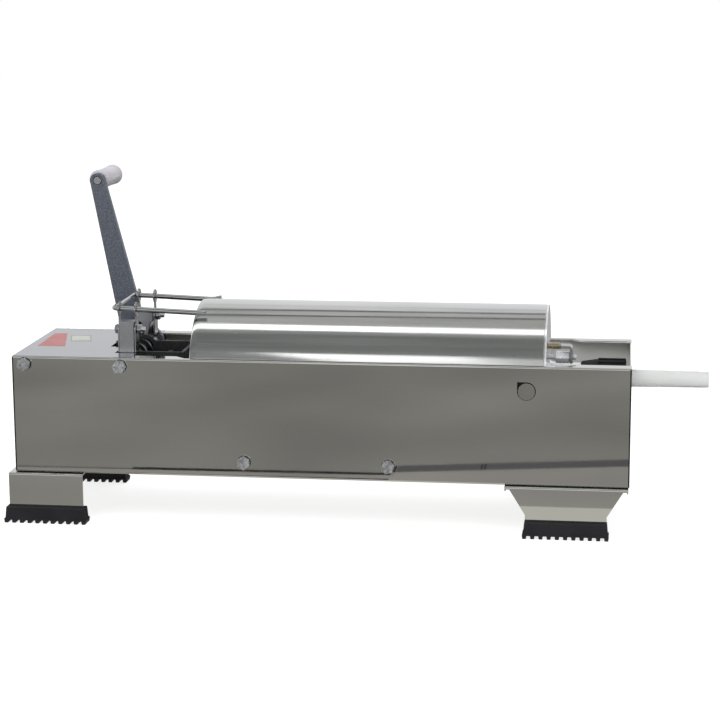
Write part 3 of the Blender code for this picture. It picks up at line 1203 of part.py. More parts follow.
def build_machine():
    """Build every piece in the order in which the machine is put together."""
    build_chassis()
    build_end_plate("rear_end_plate", 0, 1, ROD_HOLE / 2)
    build_end_plate("front_end_plate", CHASSIS_LENGTH, -1, NOZZLE_HOLE / 2)
    build_cover()
    build_rear_bracket()
    build_front_bracket()
    for label, side in (("near", -1), ("far", 1)):
        build_shoe(f"rear_shoe_{label}", REAR_FOOT_X, side)
        build_shoe(f"front_shoe_{label}", FRONT_FOOT_X, side)
    build_cylinder()
    build_front_cap()
    build_nozzle()
    build_ring_nut()
    rod_half = INNER_HALF_WIDTH - GAP
    build_cross_rod("cover_rod", COVER_ROD_X, -COVER_ROD_DROP, COVER_HALF_WIDTH - SHEET - GAP)
    build_cross_rod("rear_cradle_rod", REAR_CRADLE_X, CRADLE_Z, rod_half)
    build_cross_rod("front_cradle_rod", FRONT_CRADLE_X, CRADLE_Z, rod_half)
    for label, side, strap_bottom in (("near", -1, -NEAR_STRAP_DROP), ("far", 1, FAR_STRAP_BOTTOM)):
        for index, (x, z) in enumerate(screw_places(), start=1):
            build_wall_screw(f"{label}_wall_screw_{index}", x, z, side)
        build_cap_clamp(side, label)
        build_straps(side, label, strap_bottom)
    build_mechanism_frame()
    build_guide_bush("rear_guide_bush", FRAME_REAR_X, -1)
    build_guide_bush("front_guide_bush", FRAME_FRONT_X, 1)
    build_push_rod()
    build_piston()
    build_pivot()
    build_posts()
    build_lever()
    build_crank_fork()
    build_grip()
    build_latch_fork()
    build_drive_plate()
    build_lock_plate()
    build_springs()


build_machine()
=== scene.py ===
from math import acos, atan2, cos, pi, radians, sin, sqrt, tau

import bmesh
import bpy
from mathutils import Matrix, Vector


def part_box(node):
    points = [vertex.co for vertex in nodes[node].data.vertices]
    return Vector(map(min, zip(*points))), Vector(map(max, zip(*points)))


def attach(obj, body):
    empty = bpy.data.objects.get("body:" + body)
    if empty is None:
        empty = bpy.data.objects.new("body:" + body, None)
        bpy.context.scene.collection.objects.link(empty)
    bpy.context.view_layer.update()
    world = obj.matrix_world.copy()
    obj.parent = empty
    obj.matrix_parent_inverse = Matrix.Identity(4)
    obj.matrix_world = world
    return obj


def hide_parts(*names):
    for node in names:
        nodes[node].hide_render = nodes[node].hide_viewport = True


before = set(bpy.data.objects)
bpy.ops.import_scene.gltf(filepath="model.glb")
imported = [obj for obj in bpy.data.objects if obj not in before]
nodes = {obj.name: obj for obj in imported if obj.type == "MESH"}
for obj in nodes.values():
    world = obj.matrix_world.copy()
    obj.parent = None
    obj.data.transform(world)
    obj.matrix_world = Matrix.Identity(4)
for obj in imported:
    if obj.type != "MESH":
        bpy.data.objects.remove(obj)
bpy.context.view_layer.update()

# everything below is drawn in millimetres from the chassis: x from its rear end, y from its middle plane
# (the camera's side is negative), z from the top of the walls
chassisLow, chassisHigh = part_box("chassis_shell")
toWorld = (Matrix.Translation((chassisLow.x, (chassisLow.y + chassisHigh.y) / 2, chassisHigh.z))
           @ Matrix.Scale(0.001, 4))
sides = (("near", -1), ("far", 1))


def place(*point):
    return toWorld @ Vector(point)


# helpers for node trees

def feed(tree, value, socket):
    if isinstance(value, bpy.types.NodeSocket):
        tree.links.new(value, socket)
    else:
        socket.default_value = value


def addNode(tree, kind, sockets=(), **settings):
    node = tree.nodes.new("ShaderNode" + kind)
    for key, value in settings.items():
        setattr(node, key, value)
    for key, value in dict(sockets).items():
        feed(tree, value, node.inputs[key])
    return node


def newTree(name, inputs, output):
    group = bpy.data.node_groups.new(name, "ShaderNodeTree")
    for socketName, value in inputs.items():
        kind = "NodeSocketVector" if isinstance(value, tuple) else "NodeSocketFloat"
        group.interface.new_socket(socketName, in_out="INPUT", socket_type=kind).default_value = value
    group.interface.new_socket(output, in_out="OUTPUT", socket_type="NodeSocketFloat")
    return group, group.nodes.new("NodeGroupInput").outputs, group.nodes.new("NodeGroupOutput").inputs


def objectPoint(tree):
    return addNode(tree, "TexCoord").outputs["Object"]


def objectParts(tree):
    return addNode(tree, "SeparateXYZ", {0: objectPoint(tree)}).outputs


def noise(tree, scale, point=None, **more):
    return addNode(tree, "TexNoise", {"Vector": point or objectPoint(tree), "Scale": scale, **more}).outputs["Fac"]


def ramp(tree, source, first, last):  # position and value of the two stops
    node = addNode(tree, "ValToRGB", {"Fac": source})
    for element, (position, value) in zip(node.color_ramp.elements, (first, last)):
        element.position, element.color = position, (value, value, value, 1)
    return node.outputs["Color"]


def maths(tree, operation, first, second=0.0, clamp=False):
    return addNode(tree, "Math", {0: first, 1: second}, operation=operation, use_clamp=clamp).outputs[0]


def mixColours(tree, factor, first, second):
    first, second = [(*value, 1) if isinstance(value, tuple) else value for value in (first, second)]
    return addNode(tree, "Mix", {"Factor": factor, "A": first, "B": second}, data_type="RGBA").outputs["Result"]


def blendValues(tree, factor, first, second):
    return addNode(tree, "MapRange", {"Value": factor, "To Min": first, "To Max": second}).outputs["Result"]


# effects that several materials share

def buildGrain():
    group, enter, leave = newTree("directionalGrain", {"Stretch": (40.0, 1200.0, 1200.0)}, "Grain")
    mapping = addNode(group, "Mapping", {"Vector": objectPoint(group), "Scale": enter["Stretch"]})
    streaks = noise(group, 1.0, mapping.outputs["Vector"], Detail=4.0, Roughness=0.65)
    fit = addNode(group, "MapRange", {"Value": streaks, "From Min": 0.3, "From Max": 0.7})
    feed(group, fit.outputs["Result"], leave[0])
    return group


def buildSmudge():
    group, enter, leave = newTree("handlingSmudges", {"Scale": 14.0}, "Smudge")
    cloud = noise(group, enter["Scale"], Detail=5.0, Distortion=0.6)
    feed(group, ramp(group, cloud, (0.38, 0.0), (0.62, 1.0)), leave[0])
    return group


def buildScratches():
    group, _, leave = newTree("fineScratches", {}, "Scratch")
    turned = addNode(group, "VectorRotate", {"Vector": objectPoint(group), "Axis": (0.3, 0.9, 0.3), "Angle": 0.4},
                     rotation_type="AXIS_ANGLE")
    mapping = addNode(group, "Mapping", {"Vector": turned.outputs["Vector"], "Scale": (0.25, 1.0, 3.0)})
    lines = addNode(group, "TexVoronoi", {"Vector": mapping.outputs["Vector"], "Scale": 55.0},
                    feature="DISTANCE_TO_EDGE")
    narrow = maths(group, "LESS_THAN", lines.outputs["Distance"], 0.01)
    some = ramp(group, noise(group, 35.0), (0.52, 0.0), (0.6, 1.0))
    feed(group, maths(group, "MULTIPLY", narrow, some), leave[0])
    return group


def buildSideMask():  # 1 between two upright planes beside the middle and two heights, in metres
    group, enter, leave = newTree("sideMask", {"Reach": 0.09, "Low": -1.0, "High": 1.0}, "Inside")
    parts, middle = objectParts(group), place(0, 0, 0)
    aside = maths(group, "ABSOLUTE", maths(group, "SUBTRACT", parts["Y"], middle.y))
    height = maths(group, "SUBTRACT", parts["Z"], middle.z)
    between = maths(group, "MULTIPLY", maths(group, "LESS_THAN", height, enter["High"]),
                    maths(group, "GREATER_THAN", height, enter["Low"]))
    within = maths(group, "LESS_THAN", aside, enter["Reach"])
    feed(group, maths(group, "MULTIPLY", within, between), leave[0])
    return group


grainGroup = buildGrain()
smudgeGroup = buildSmudge()
scratchGroup = buildScratches()
sideGroup = buildSideMask()


def useGroup(tree, group, **values):
    node = tree.nodes.new("ShaderNodeGroup")
    node.node_tree = group
    for key, value in values.items():
        node.inputs[key].default_value = value
    return node.outputs[0]


finishes = {}


def startMaterial(name, values=()):
    material = bpy.data.materials.new(name)
    material.use_nodes = True
    shader = material.node_tree.nodes["Principled BSDF"]
    for key, value in dict(values).items():
        shader.inputs[key].default_value = value
    finishes[name] = material
    return material.node_tree, shader


def dressShader(tree, shader, colour, dullness, height, strength, distance):
    bump = addNode(tree, "Bump", {"Height": height, "Strength": strength, "Distance": distance})
    for key, value in (("Base Color", colour), ("Roughness", dullness), ("Normal", bump.outputs["Normal"])):
        feed(tree, value, shader.inputs[key])


# where the sheet changes its look, in metres: inside the chassis, at the joints of walls and end plates and
# inside the cylinder
innerBox = dict(Reach=0.0903, Low=-0.1343, High=-0.0006)
innerLook = dict(roughness=0.42, metallic=0.05)
seamLook = dict(reach=0.0908, low=-0.1352, fromMiddle=0.3484, colour=(0.04, 0.04, 0.04), roughness=0.5)
boreLook = dict(radius=0.0813, roughness=0.36, metallic=0.35)
# painted shade: near-black colour for washers and collars next to the wall, standing in for the shade there
collarShadeColour = (0.035, 0.035, 0.037)
axisZ = -28.6  # height of the cylinder's axis
middleX = 350  # middle of the chassis


def metal(name, colour, shade, roughness, bump, cloud, stretch=(500, 500, 500), grainTint=0.35, cloudTint=0.4,
          metallic=1.0, shadedCollarReach=0, folded=False, rolled=False):
    tree, shader = startMaterial(name, {"Metallic": metallic})
    grain = useGroup(tree, grainGroup, Stretch=stretch)
    smudge = useGroup(tree, smudgeGroup, Scale=cloud)
    scratch = useGroup(tree, scratchGroup)
    clouded = maths(tree, "ADD", maths(tree, "MULTIPLY", grain, grainTint),
                    maths(tree, "MULTIPLY", smudge, cloudTint), True)
    colour = mixColours(tree, clouded, colour, shade)
    worn = maths(tree, "ADD", maths(tree, "MULTIPLY", grain, 0.5), maths(tree, "MULTIPLY", smudge, 0.5))
    marked = maths(tree, "ADD", worn, maths(tree, "MULTIPLY", scratch, 0.5))
    dullness = blendValues(tree, marked, *roughness)
    if folded:  # the sheet of the chassis is duller inside, and its joints are dark
        inside = useGroup(tree, sideGroup, **innerBox)
        dullness = blendValues(tree, inside, dullness, innerLook["roughness"])
        feed(tree, blendValues(tree, inside, 1.0, innerLook["metallic"]), shader.inputs["Metallic"])
        core, tall = [useGroup(tree, sideGroup, Reach=reach, Low=seamLook["low"])
                      for reach in (seamLook["reach"], 1.0)]
        fromMiddle = maths(tree, "SUBTRACT", objectParts(tree)["X"], place(middleX, 0, 0).x)
        atEnd = maths(tree, "GREATER_THAN", maths(tree, "ABSOLUTE", fromMiddle), seamLook["fromMiddle"])
        seam = maths(tree, "MULTIPLY", atEnd, maths(tree, "SUBTRACT", tall, core))
        colour = mixColours(tree, seam, colour, seamLook["colour"])
        dullness = blendValues(tree, seam, dullness, seamLook["roughness"])
    if rolled:  # the cylinder's sheet is duller inside
        parts, centre = objectParts(tree), place(0, 0, axisZ)
        squares = [maths(tree, "POWER", maths(tree, "SUBTRACT", parts[key], value), 2.0)
                   for key, value in (("Y", centre.y), ("Z", centre.z))]
        inside = maths(tree, "LESS_THAN", maths(tree, "ADD", *squares), boreLook["radius"] ** 2)
        dullness = blendValues(tree, inside, dullness, boreLook["roughness"])
        feed(tree, blendValues(tree, inside, 1.0, boreLook["metallic"]), shader.inputs["Metallic"])
    if shadedCollarReach:  # painted shade: washers and collars close to the wall are painted near-black, standing in for the shade around the screw heads and in the pin's hole
        inside = useGroup(tree, sideGroup, Reach=shadedCollarReach / 1000)
        colour = mixColours(tree, inside, colour, collarShadeColour)
    height = maths(tree, "SUBTRACT", grain, maths(tree, "MULTIPLY", scratch, 0.6))
    dressShader(tree, shader, colour, dullness, height, bump, 0.0002)


def paint(name, colour, flake, number, roughness, bump):
    tree, shader = startMaterial(name)
    flakes = addNode(tree, "TexVoronoi", {"Vector": objectPoint(tree), "Scale": number})
    veins = noise(tree, number * 0.45, Detail=6.0)
    speck = ramp(tree, veins, (0.42, 0.0), (0.62, 1.0))
    dot = ramp(tree, flakes.outputs["Distance"], (0.1, 1.0), (0.45, 0.0))
    mask = maths(tree, "MULTIPLY", speck, maths(tree, "ADD", dot, 0.35), True)
    dullness = blendValues(tree, useGroup(tree, smudgeGroup, Scale=30.0), *roughness)
    dressShader(tree, shader, mixColours(tree, mask, colour, flake), dullness, veins, bump, 0.0006)


def moulded(name, colour, dusty, grain, roughness, bump, cloud=25.0, values=()):
    tree, shader = startMaterial(name, values)
    pores = noise(tree, grain, Detail=5.0)
    smudge = useGroup(tree, smudgeGroup, Scale=cloud)
    wear = maths(tree, "ADD", maths(tree, "MULTIPLY", smudge, 0.6), maths(tree, "MULTIPLY", pores, 0.5), True)
    dullness = blendValues(tree, wear, *roughness)
    dressShader(tree, shader, mixColours(tree, wear, colour, dusty), dullness, pores, bump, 0.0003)


# name, colour, shade, roughness, bump and size of the smudges
metal("polishedSheet", (0.615, 0.61, 0.58), (0.575, 0.57, 0.545), (0.02, 0.05), 0.003, 7.0,
      stretch=(60, 900, 900), folded=True)
metal("coverSheet", (0.4, 0.4, 0.425), (0.36, 0.362, 0.385), (0.06, 0.13), 0.006, 7.0, stretch=(60, 900, 900))
metal("cylinderSheet", (0.75, 0.755, 0.745), (0.62, 0.635, 0.62), (0.065, 0.15), 0.02, 5.0,
      stretch=(14, 1500, 1500), grainTint=0.5, rolled=True)
metal("capSheet", (0.88, 0.885, 0.9), (0.78, 0.785, 0.8), (0.16, 0.28), 0.01, 20.0, stretch=(300, 300, 300),
      metallic=0.75)
metal("zincPlate", (0.9, 0.905, 0.93), (0.7, 0.71, 0.73), (0.14, 0.3), 0.05, 60.0)
metal("strapZinc", (0.5, 0.5, 0.51), (0.36, 0.36, 0.37), (0.16, 0.32), 0.06, 60.0)
# the screws' washers are painted shade, near-black up to the wall
metal("screwZinc", (0.74, 0.75, 0.77), (0.3, 0.305, 0.315), (0.2, 0.42), 0.3, 220.0, cloudTint=0.9, shadedCollarReach=92.6,
      metallic=0.82)
metal("nutZinc", (0.8, 0.8, 0.83), (0.56, 0.56, 0.59), (0.2, 0.42), 0.1, 120.0, metallic=0.65)
metal("machinedSteel", (0.84, 0.84, 0.88), (0.68, 0.68, 0.715), (0.22, 0.4), 0.08, 40.0,
      stretch=(900, 900, 120))
metal("postSteel", (0.54, 0.54, 0.565), (0.4, 0.4, 0.42), (0.22, 0.4), 0.08, 40.0, stretch=(120, 900, 120))
# near-black steel: painted shade that stands in for the shade inside the mechanism window
metal("paintedShadeSteel", (0.11, 0.11, 0.115), (0.06, 0.06, 0.063), (0.25, 0.45), 0.1, 60.0)
# the trunnion's collar is painted shade, near-black inside the wall's hole
metal("pinSteel", (0.56, 0.545, 0.51), (0.5, 0.485, 0.455), (0.05, 0.1), 0.01, 40.0, stretch=(700, 700, 700),
      shadedCollarReach=89.6)
metal("chromePlate", (0.52, 0.53, 0.535), (0.44, 0.45, 0.455), (0.03, 0.08), 0.006, 30.0,
      stretch=(200, 1500, 1500))
metal("turnedBrass", (0.72, 0.66, 0.53), (0.44, 0.39, 0.3), (0.16, 0.34), 0.05, 50.0, stretch=(1200, 60, 60))
# name, colour, flakes and their number, roughness, bump
paint("leverPaint", (0.05, 0.058, 0.077), (0.16, 0.18, 0.215), 1500.0, (0.4, 0.55), 0.25)
paint("framePaint", (0.012, 0.012, 0.013), (0.03, 0.03, 0.031), 700.0, (0.45, 0.65), 0.2)
# name, colour, dusty colour, grain, roughness, bump
moulded("shoeRubber", (0.0075, 0.007, 0.009), (0.018, 0.017, 0.021), 420.0, (0.6, 0.85), 0.25,
        values={"Specular IOR Level": 0.3})
moulded("blackPlastic", (0.008, 0.008, 0.009), (0.02, 0.02, 0.021), 500.0, (0.6, 0.8), 0.12,
        values={"Specular IOR Level": 0.12})
moulded("gripPlastic", (0.42, 0.395, 0.43), (0.37, 0.35, 0.38), 300.0, (0.26, 0.42), 0.05,
        values={"Subsurface Weight": 0.15, "Subsurface Radius": (0.004, 0.0035, 0.0035), "Subsurface Scale": 1.0})
moulded("nozzlePlastic", (0.86, 0.87, 0.86), (0.8, 0.81, 0.8), 180.0, (0.28, 0.4), 0.04,
        values={"Transmission Weight": 0.75, "IOR": 1.35})
moulded("sealRubber", (0.55, 0.52, 0.46), (0.45, 0.42, 0.37), 300.0, (0.5, 0.7), 0.1)
moulded("labelFilm", (0.38, 0.4, 0.36), (0.33, 0.35, 0.32), 90.0, (0.3, 0.42), 0.03)
moulded("labelRed", (0.34, 0.07, 0.07), (0.3, 0.085, 0.08), 90.0, (0.3, 0.42), 0.03)
moulded("labelTrim", (0.3, 0.17, 0.15), (0.17, 0.24, 0.17), 60.0, (0.3, 0.42), 0.03, cloud=60.0)
print("materials ready:", len(finishes))


# helpers for meshes, all in chassis millimetres

def newObject(name, data):
    obj = bpy.data.objects.new(name, data)
    bpy.context.scene.collection.objects.link(obj)
    return obj


def meshFrom(work, name):
    mesh = bpy.data.meshes.new(name)
    work.to_mesh(mesh)
    work.free()
    return mesh


def workFrom(mesh):
    work = bmesh.new()
    work.from_mesh(mesh)
    return work


def moveVerts(work, offset, verts=None):
    bmesh.ops.translate(work, vec=offset, verts=work.verts if verts is None else verts)


def turnVerts(work, angle, axis, verts=None):
    bmesh.ops.rotate(work, cent=(0, 0, 0), matrix=Matrix.Rotation(angle, 3, axis),
                     verts=work.verts if verts is None else verts)


def bevelEdges(work, edges, offset, segments=2):
    return bmesh.ops.bevel(work, geom=list(edges), offset=offset, segments=segments, profile=0.5, affect="EDGES",
                           material=-1)


flatFinishes = ("polishedSheet", "coverSheet")


def keepPlanesFlat(mesh):  # bends end in a line, so that the wide panels mirror without a warp
    work = workFrom(mesh)
    for edge in work.edges:
        upright = [max(abs(part) for part in face.normal) > 0.99999 for face in edge.link_faces]
        if len(upright) == 2 and upright[0] != upright[1]:
            edge.smooth = False
    work.to_mesh(mesh)
    work.free()


def finishPiece(name, work, finishName, replaced=None, body="chassis", smooth=30, bevel=None):
    bmesh.ops.remove_doubles(work, verts=work.verts, dist=0.0005)
    bmesh.ops.recalc_face_normals(work, faces=work.faces)
    mesh = meshFrom(work, name)
    mesh.transform(toWorld)
    obj = newObject(name, mesh)
    mesh.materials.append(finishes[finishName])
    mesh.shade_smooth()
    mesh.set_sharp_from_angle(angle=radians(smooth))
    if finishName in flatFinishes:
        keepPlanesFlat(mesh)
    if bevel:
        edge = obj.modifiers.new("softEdges", "BEVEL")
        edge.width, edge.segments, edge.limit_method = bevel / 1000, 2, "ANGLE"
        edge.angle_limit, edge.harden_normals = radians(38), True
    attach(obj, body)
    if replaced:
        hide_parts(replaced)


def spunAlong(work, profile, steps, centre, axis="x"):  # profile of (station along the axis, radius)
    start = len(work.verts)
    points = [work.verts.new((station, 0, radius)) for station, radius in profile]
    edges = [work.edges.new(pair) for pair in zip(points, points[1:])]
    bmesh.ops.spin(work, geom=points + edges, cent=(0, 0, 0), axis=(1, 0, 0), angle=tau, steps=steps,
                   use_merge=True, use_duplicate=False)
    bmesh.ops.remove_doubles(work, verts=list(work.verts)[start:], dist=0.0004)
    fresh = list(work.verts)[start:]
    if axis == "y":
        turnVerts(work, pi / 2, "Z", fresh)
    moveVerts(work, centre, fresh)


def turnedPiece(name, profile, steps, centre, finishName, replaced=None, body="chassis", smooth=30, axis="x"):
    work = bmesh.new()
    spunAlong(work, profile, steps, centre, axis)
    finishPiece(name, work, finishName, replaced, body, smooth)


def arcPoints(centre, radius, start, end, count):
    return [(centre[0] + radius * cos(start + (end - start) * step / count),
             centre[1] + radius * sin(start + (end - start) * step / count)) for step in range(count + 1)]


def roundedBend(corner, before, after, radius, count=8):
    start = Vector(corner) - Vector(before) * radius
    centre = start + Vector(after) * radius
    first = atan2(start.y - centre.y, start.x - centre.x)
    side = before[0] * after[1] - before[1] * after[0]
    return arcPoints(centre, radius, first, first + side * pi / 2, count)


def channelSection(side, top, bottom, bend):
    return [(-side, bottom), *roundedBend((-side, top), (0, 1), (1, 0), bend),
            *roundedBend((side, top), (1, 0), (0, -1), bend), (side, bottom)]


def movedVerts(work, made, offset):
    moved = [item for item in made["geom"] if isinstance(item, bmesh.types.BMVert)]
    moveVerts(work, offset, moved)
    return moved


def pushOut(work, verts, offset):  # closes the outline with a face and extrudes it
    made = bmesh.ops.extrude_face_region(work, geom=[work.faces.new(verts)])
    return verts + movedVerts(work, made, offset)


def slabFromOutline(work, outline, low, high, normal="y"):
    order = {"x": (2, 0, 1), "y": (0, 2, 1), "z": (0, 1, 2)}[normal]
    verts = [work.verts.new([(a, b, low)[index] for index in order]) for a, b in outline]
    pushOut(work, verts, [(0, 0, high - low)[index] for index in order])


def foldedSheet(section, start, length, thickness):
    work = bmesh.new()
    points = [work.verts.new((start, a, b)) for a, b in section]
    edges = [work.edges.new(pair) for pair in zip(points, points[1:])]
    movedVerts(work, bmesh.ops.extrude_edge_only(work, edges=edges), (length, 0, 0))
    obj = solidObject(work)
    wall = obj.modifiers.new("wall", "SOLIDIFY")
    wall.thickness, wall.offset, wall.use_even_offset = thickness, 0, True
    return obj


def solidObject(work):
    bmesh.ops.recalc_face_normals(work, faces=work.faces)
    return newObject("solid", meshFrom(work, "solid"))


def slabObject(outline, low, high, normal="y"):
    work = bmesh.new()
    slabFromOutline(work, outline, low, high, normal)
    return solidObject(work)


def drumObject(radius, centre, length, axis, steps=48):
    work = bmesh.new()
    half = length / 2
    spunAlong(work, [(-half, 0), (-half, radius), (half, radius), (half, 0)], steps, centre, axis)
    return solidObject(work)


def boxObject(low, high):
    work = bmesh.new()
    bmesh.ops.create_cube(work, size=1.0)
    bmesh.ops.scale(work, vec=[b - a for a, b in zip(low, high)], verts=work.verts)
    moveVerts(work, [(a + b) / 2 for a, b in zip(low, high)])
    return solidObject(work)


def cuts(*tools):
    return [("DIFFERENCE", tool) for tool in tools]


def carvedMesh(base, tools):
    for operation, tool in tools:
        step = base.modifiers.new("carve", "BOOLEAN")
        step.operation, step.solver, step.object = operation, "EXACT", tool
    bpy.context.view_layer.update()
    graph = bpy.context.evaluated_depsgraph_get()
    mesh = bpy.data.meshes.new_from_object(base.evaluated_get(graph))
    for obj in [base] + [tool for _, tool in tools]:
        bpy.data.objects.remove(obj, do_unlink=True)
    return mesh


def carvedPiece(name, base, tools, finishName, replaced, body="chassis", smooth=30, bevel=0.25):
    work = workFrom(carvedMesh(base, tools))
    bmesh.ops.remove_doubles(work, verts=work.verts, dist=0.0005)
    bmesh.ops.dissolve_limit(work, angle_limit=radians(0.5), verts=work.verts, edges=work.edges)
    finishPiece(name, work, finishName, replaced, body, smooth, bevel)


# chassis, cover, brackets and shoes

chassisLook = dict(
    length=700, width=182, height=135, sheet=1.5, bend=1.3, flange=18, slim=7, rearBay=138.3, start=187, end=628,
    slant=12, pinHole=(585.1, -27.9), pinHoleRadius=10.4)
screwHole = 4.1  # radius of the holes for the wall screws
screwPlaces = [(14.7, -8.8), (126, -9.2), (267, -117.2), (431, -117.2)]
cylinderLook = dict(
    radius=82.6, bore=81.1, rear=203, front=603, rim=9, rimDepth=1.2, steps=160, pinX=585.1, pinRadius=9.6,
    pinTip=90.7)


def screwHoles(places):
    return [drumObject(screwHole, (x, 0, z), 190, "y", 32) for x, z in places]


def buildChassis(length, width, height, sheet, bend, flange, slim, rearBay, start, end, slant, pinHole,
                 pinHoleRadius):
    half, middle = width / 2, sheet / 2
    wall, floor, lip = half - middle, middle - height, half - flange
    section = [(-lip, -middle), *roundedBend((-wall, -middle), (-1, 0), (0, -1), bend),
               *roundedBend((-wall, floor), (0, -1), (1, 0), bend),
               *roundedBend((wall, floor), (1, 0), (0, 1), bend),
               *roundedBend((wall, -middle), (0, 1), (-1, 0), bend), (lip, -middle)]
    shell = foldedSheet(section, 0, length, sheet)
    inner, wide, near = half - sheet, lip - 0.3, half - slim
    bay = [(start, -wide), (start + slant, -near), (end, -near), (end + slant, -wide),
           (end + slant, wide), (end, near), (start + slant, near), (start, wide)]
    (x, z), radius = pinHole, pinHoleRadius
    hole = arcPoints(pinHole, radius, -pi, pi / 2, 36) + [(x - radius, z + radius)]
    tools = cuts(boxObject((-5, -inner, -4), (rearBay, inner, 5)), slabObject(bay, -5, 5, "z"),
                 slabObject(hole, -95, 95), *screwHoles(screwPlaces))
    carvedPiece("chassisPanels", shell, tools, "polishedSheet", "chassis_shell", smooth=25)


coverLook = dict(
    length=138, depth=24, gap=0.3, bend=1.8, rearCut=((-5, -95, -30), (1.8, 95, -1.65)),
    notch=[(145, -60), (145, 70), (88, 70), (88, 52), (98, 52), (98, -22), (112.5, -22), (112.5, -60)])


def buildCover(length, depth, gap, bend, rearCut, notch):
    sheet = chassisLook["sheet"]
    side = chassisLook["width"] / 2 - sheet - gap - sheet / 2
    cover = foldedSheet(channelSection(side, -sheet / 2, -depth, bend), 0, length, sheet)
    tools = cuts(slabObject(notch, -5, 5, "z"), boxObject(*rearCut), *screwHoles(screwPlaces[:2]))
    carvedPiece("coverPanel", cover, tools, "coverSheet", "top_cover", smooth=25)


footX = {"rear": 36.5, "front": 630.5}  # middle of each foot bracket
footLook = dict(
    span=96.25, bottom=-182.7, gap=0.3, bend=1.5, rearLength=87, frontLength=137, frontTop=126, frontBottom=90.5,
    straight=15.5, lipDepth=5, margin=2.5)


def buildBrackets(span, bottom, gap, bend, rearLength, frontLength, frontTop, frontBottom, straight, lipDepth,
                  margin):
    sheet = chassisLook["sheet"]
    top = -chassisLook["height"] - gap - sheet / 2
    section = channelSection(span, top, bottom, bend)
    rear, front = [foldedSheet(section, footX[end] - length / 2, length, sheet)
                   for end, length in (("rear", rearLength), ("front", frontLength))]
    carvedPiece("rearBracket", rear, [], "polishedSheet", "rear_foot_bracket", smooth=25)
    x, tools = footX["front"], []
    for side in (-1, 1):  # the legs taper, and a lip closes each end of the front bracket
        narrow, wide, outside = [x + side * reach for reach in (frontBottom / 2, frontTop / 2, 75)]
        outline = [(narrow, bottom - 5), (narrow, bottom + straight), (wide, top - 2.5), (outside, top - 2.5),
                   (outside, bottom - 5)]
        lipX = x + side * (frontLength - sheet) / 2
        lip = boxObject((lipX - sheet / 2, margin - span, top - lipDepth), (lipX + sheet / 2, span - margin, top))
        tools += [*cuts(slabObject(outline, -100, 100)), ("UNION", lip)]
    carvedPiece("frontBracket", front, tools, "polishedSheet", "front_foot_bracket", smooth=25)


shoeLook = dict(
    length=96, bodyLength=93.5, width=20, bodyWidth=18, height=18.3, soleHeight=5.5, tooth=3.5, teeth=11, land=5.1,
    bottom=-192.3, slot=1.05, slotDepth=9, draft=1.0)


def buildShoe(name, node, x, side, length, bodyLength, width, bodyWidth, height, soleHeight, tooth, teeth, land,
              bottom, slot, slotDepth, draft):
    y, half, sole = side * footLook["span"], length / 2, bottom + soleHeight
    outline = []
    for index in range(teeth):
        left = x - half + index * (length - land) / (teeth - 1)
        right = left + land
        outline += [(left, bottom + tooth), (left + 0.5, bottom), (right - 0.5, bottom), (right, bottom + tooth)]
    outline += [(x + half, sole - 0.6), (x + half - 0.6, sole), (x - half + 0.6, sole), (x - half, sole - 0.6)]
    work = bmesh.new()
    slabFromOutline(work, outline, y - width / 2, y + width / 2)
    wide, top, base = bodyWidth / 2, bottom + height, sole - 0.4
    walls = [(y - wide, base), (y - wide + 1, top - 0.8), (y - wide + 1.8, top), (y - slot, top),
             (y - slot, top - slotDepth), (y + slot, top - slotDepth), (y + slot, top), (y + wide - 1.8, top),
             (y + wide - 1, top - 0.8), (y + wide, base)]
    body = [work.verts.new((x - bodyLength / 2, a, b)) for a, b in walls]
    for vert in pushOut(work, body, (bodyLength, 0, 0)):  # the ends draw in towards the top
        if vert.co.z > top - 1:
            vert.co.x += draft if vert.co.x < x else -draft
    finishPiece(name, work, "shoeRubber", node, bevel=0.35)


buildChassis(**chassisLook)
buildCover(**coverLook)
buildBrackets(**footLook)
for label, x in footX.items():
    for sideName, side in sides:
        buildShoe(f"{label}{sideName.capitalize()}Shoe", f"{label}_shoe_{sideName}", x, side, **shoeLook)
print("chassis, cover, brackets and shoes built")


# cylinder, cap, nozzle and ring nut

def buildCylinder(radius, bore, rear, front, rim, rimDepth, steps, pinX, pinRadius, pinTip):
    profile = [(front - 0.4, bore), (front, bore + 0.4), (front, radius - 0.5), (front - 0.5, radius)]
    profile += [(rear + rim * (1 - sin(turn)), radius - rimDepth * (1 - cos(turn)))
                for turn in (step * pi / 24 for step in range(13))]
    profile += [(rear + 0.1, bore + 0.15), (rear + 0.5, bore), profile[0]]
    turnedPiece("cylinderTube", profile, steps, (0, 0, axisZ), "cylinderSheet", "cylinder",
                smooth=40)
    pin = [(81.4, 0), (81.4, 15), (85.5, 15), (86.2, 14.2), (86.2, pinRadius), (pinTip - 0.4, pinRadius),
           (pinTip, pinRadius - 0.4), (pinTip, 0)]
    for sideName, side in sides:
        turnedPiece(f"{sideName}Trunnion", [(side * station, reach) for station, reach in pin], 64,
                    (pinX, 0, axisZ), "pinSteel", axis="y")


capLook = dict(
    seat=603.3, thickness=2.3, rim=82.6, sleeve=(77.8, 80.8), sleeveEnd=593.3, tip=650.3, spout=17, bore=14,
    turns=12, pitch=2)


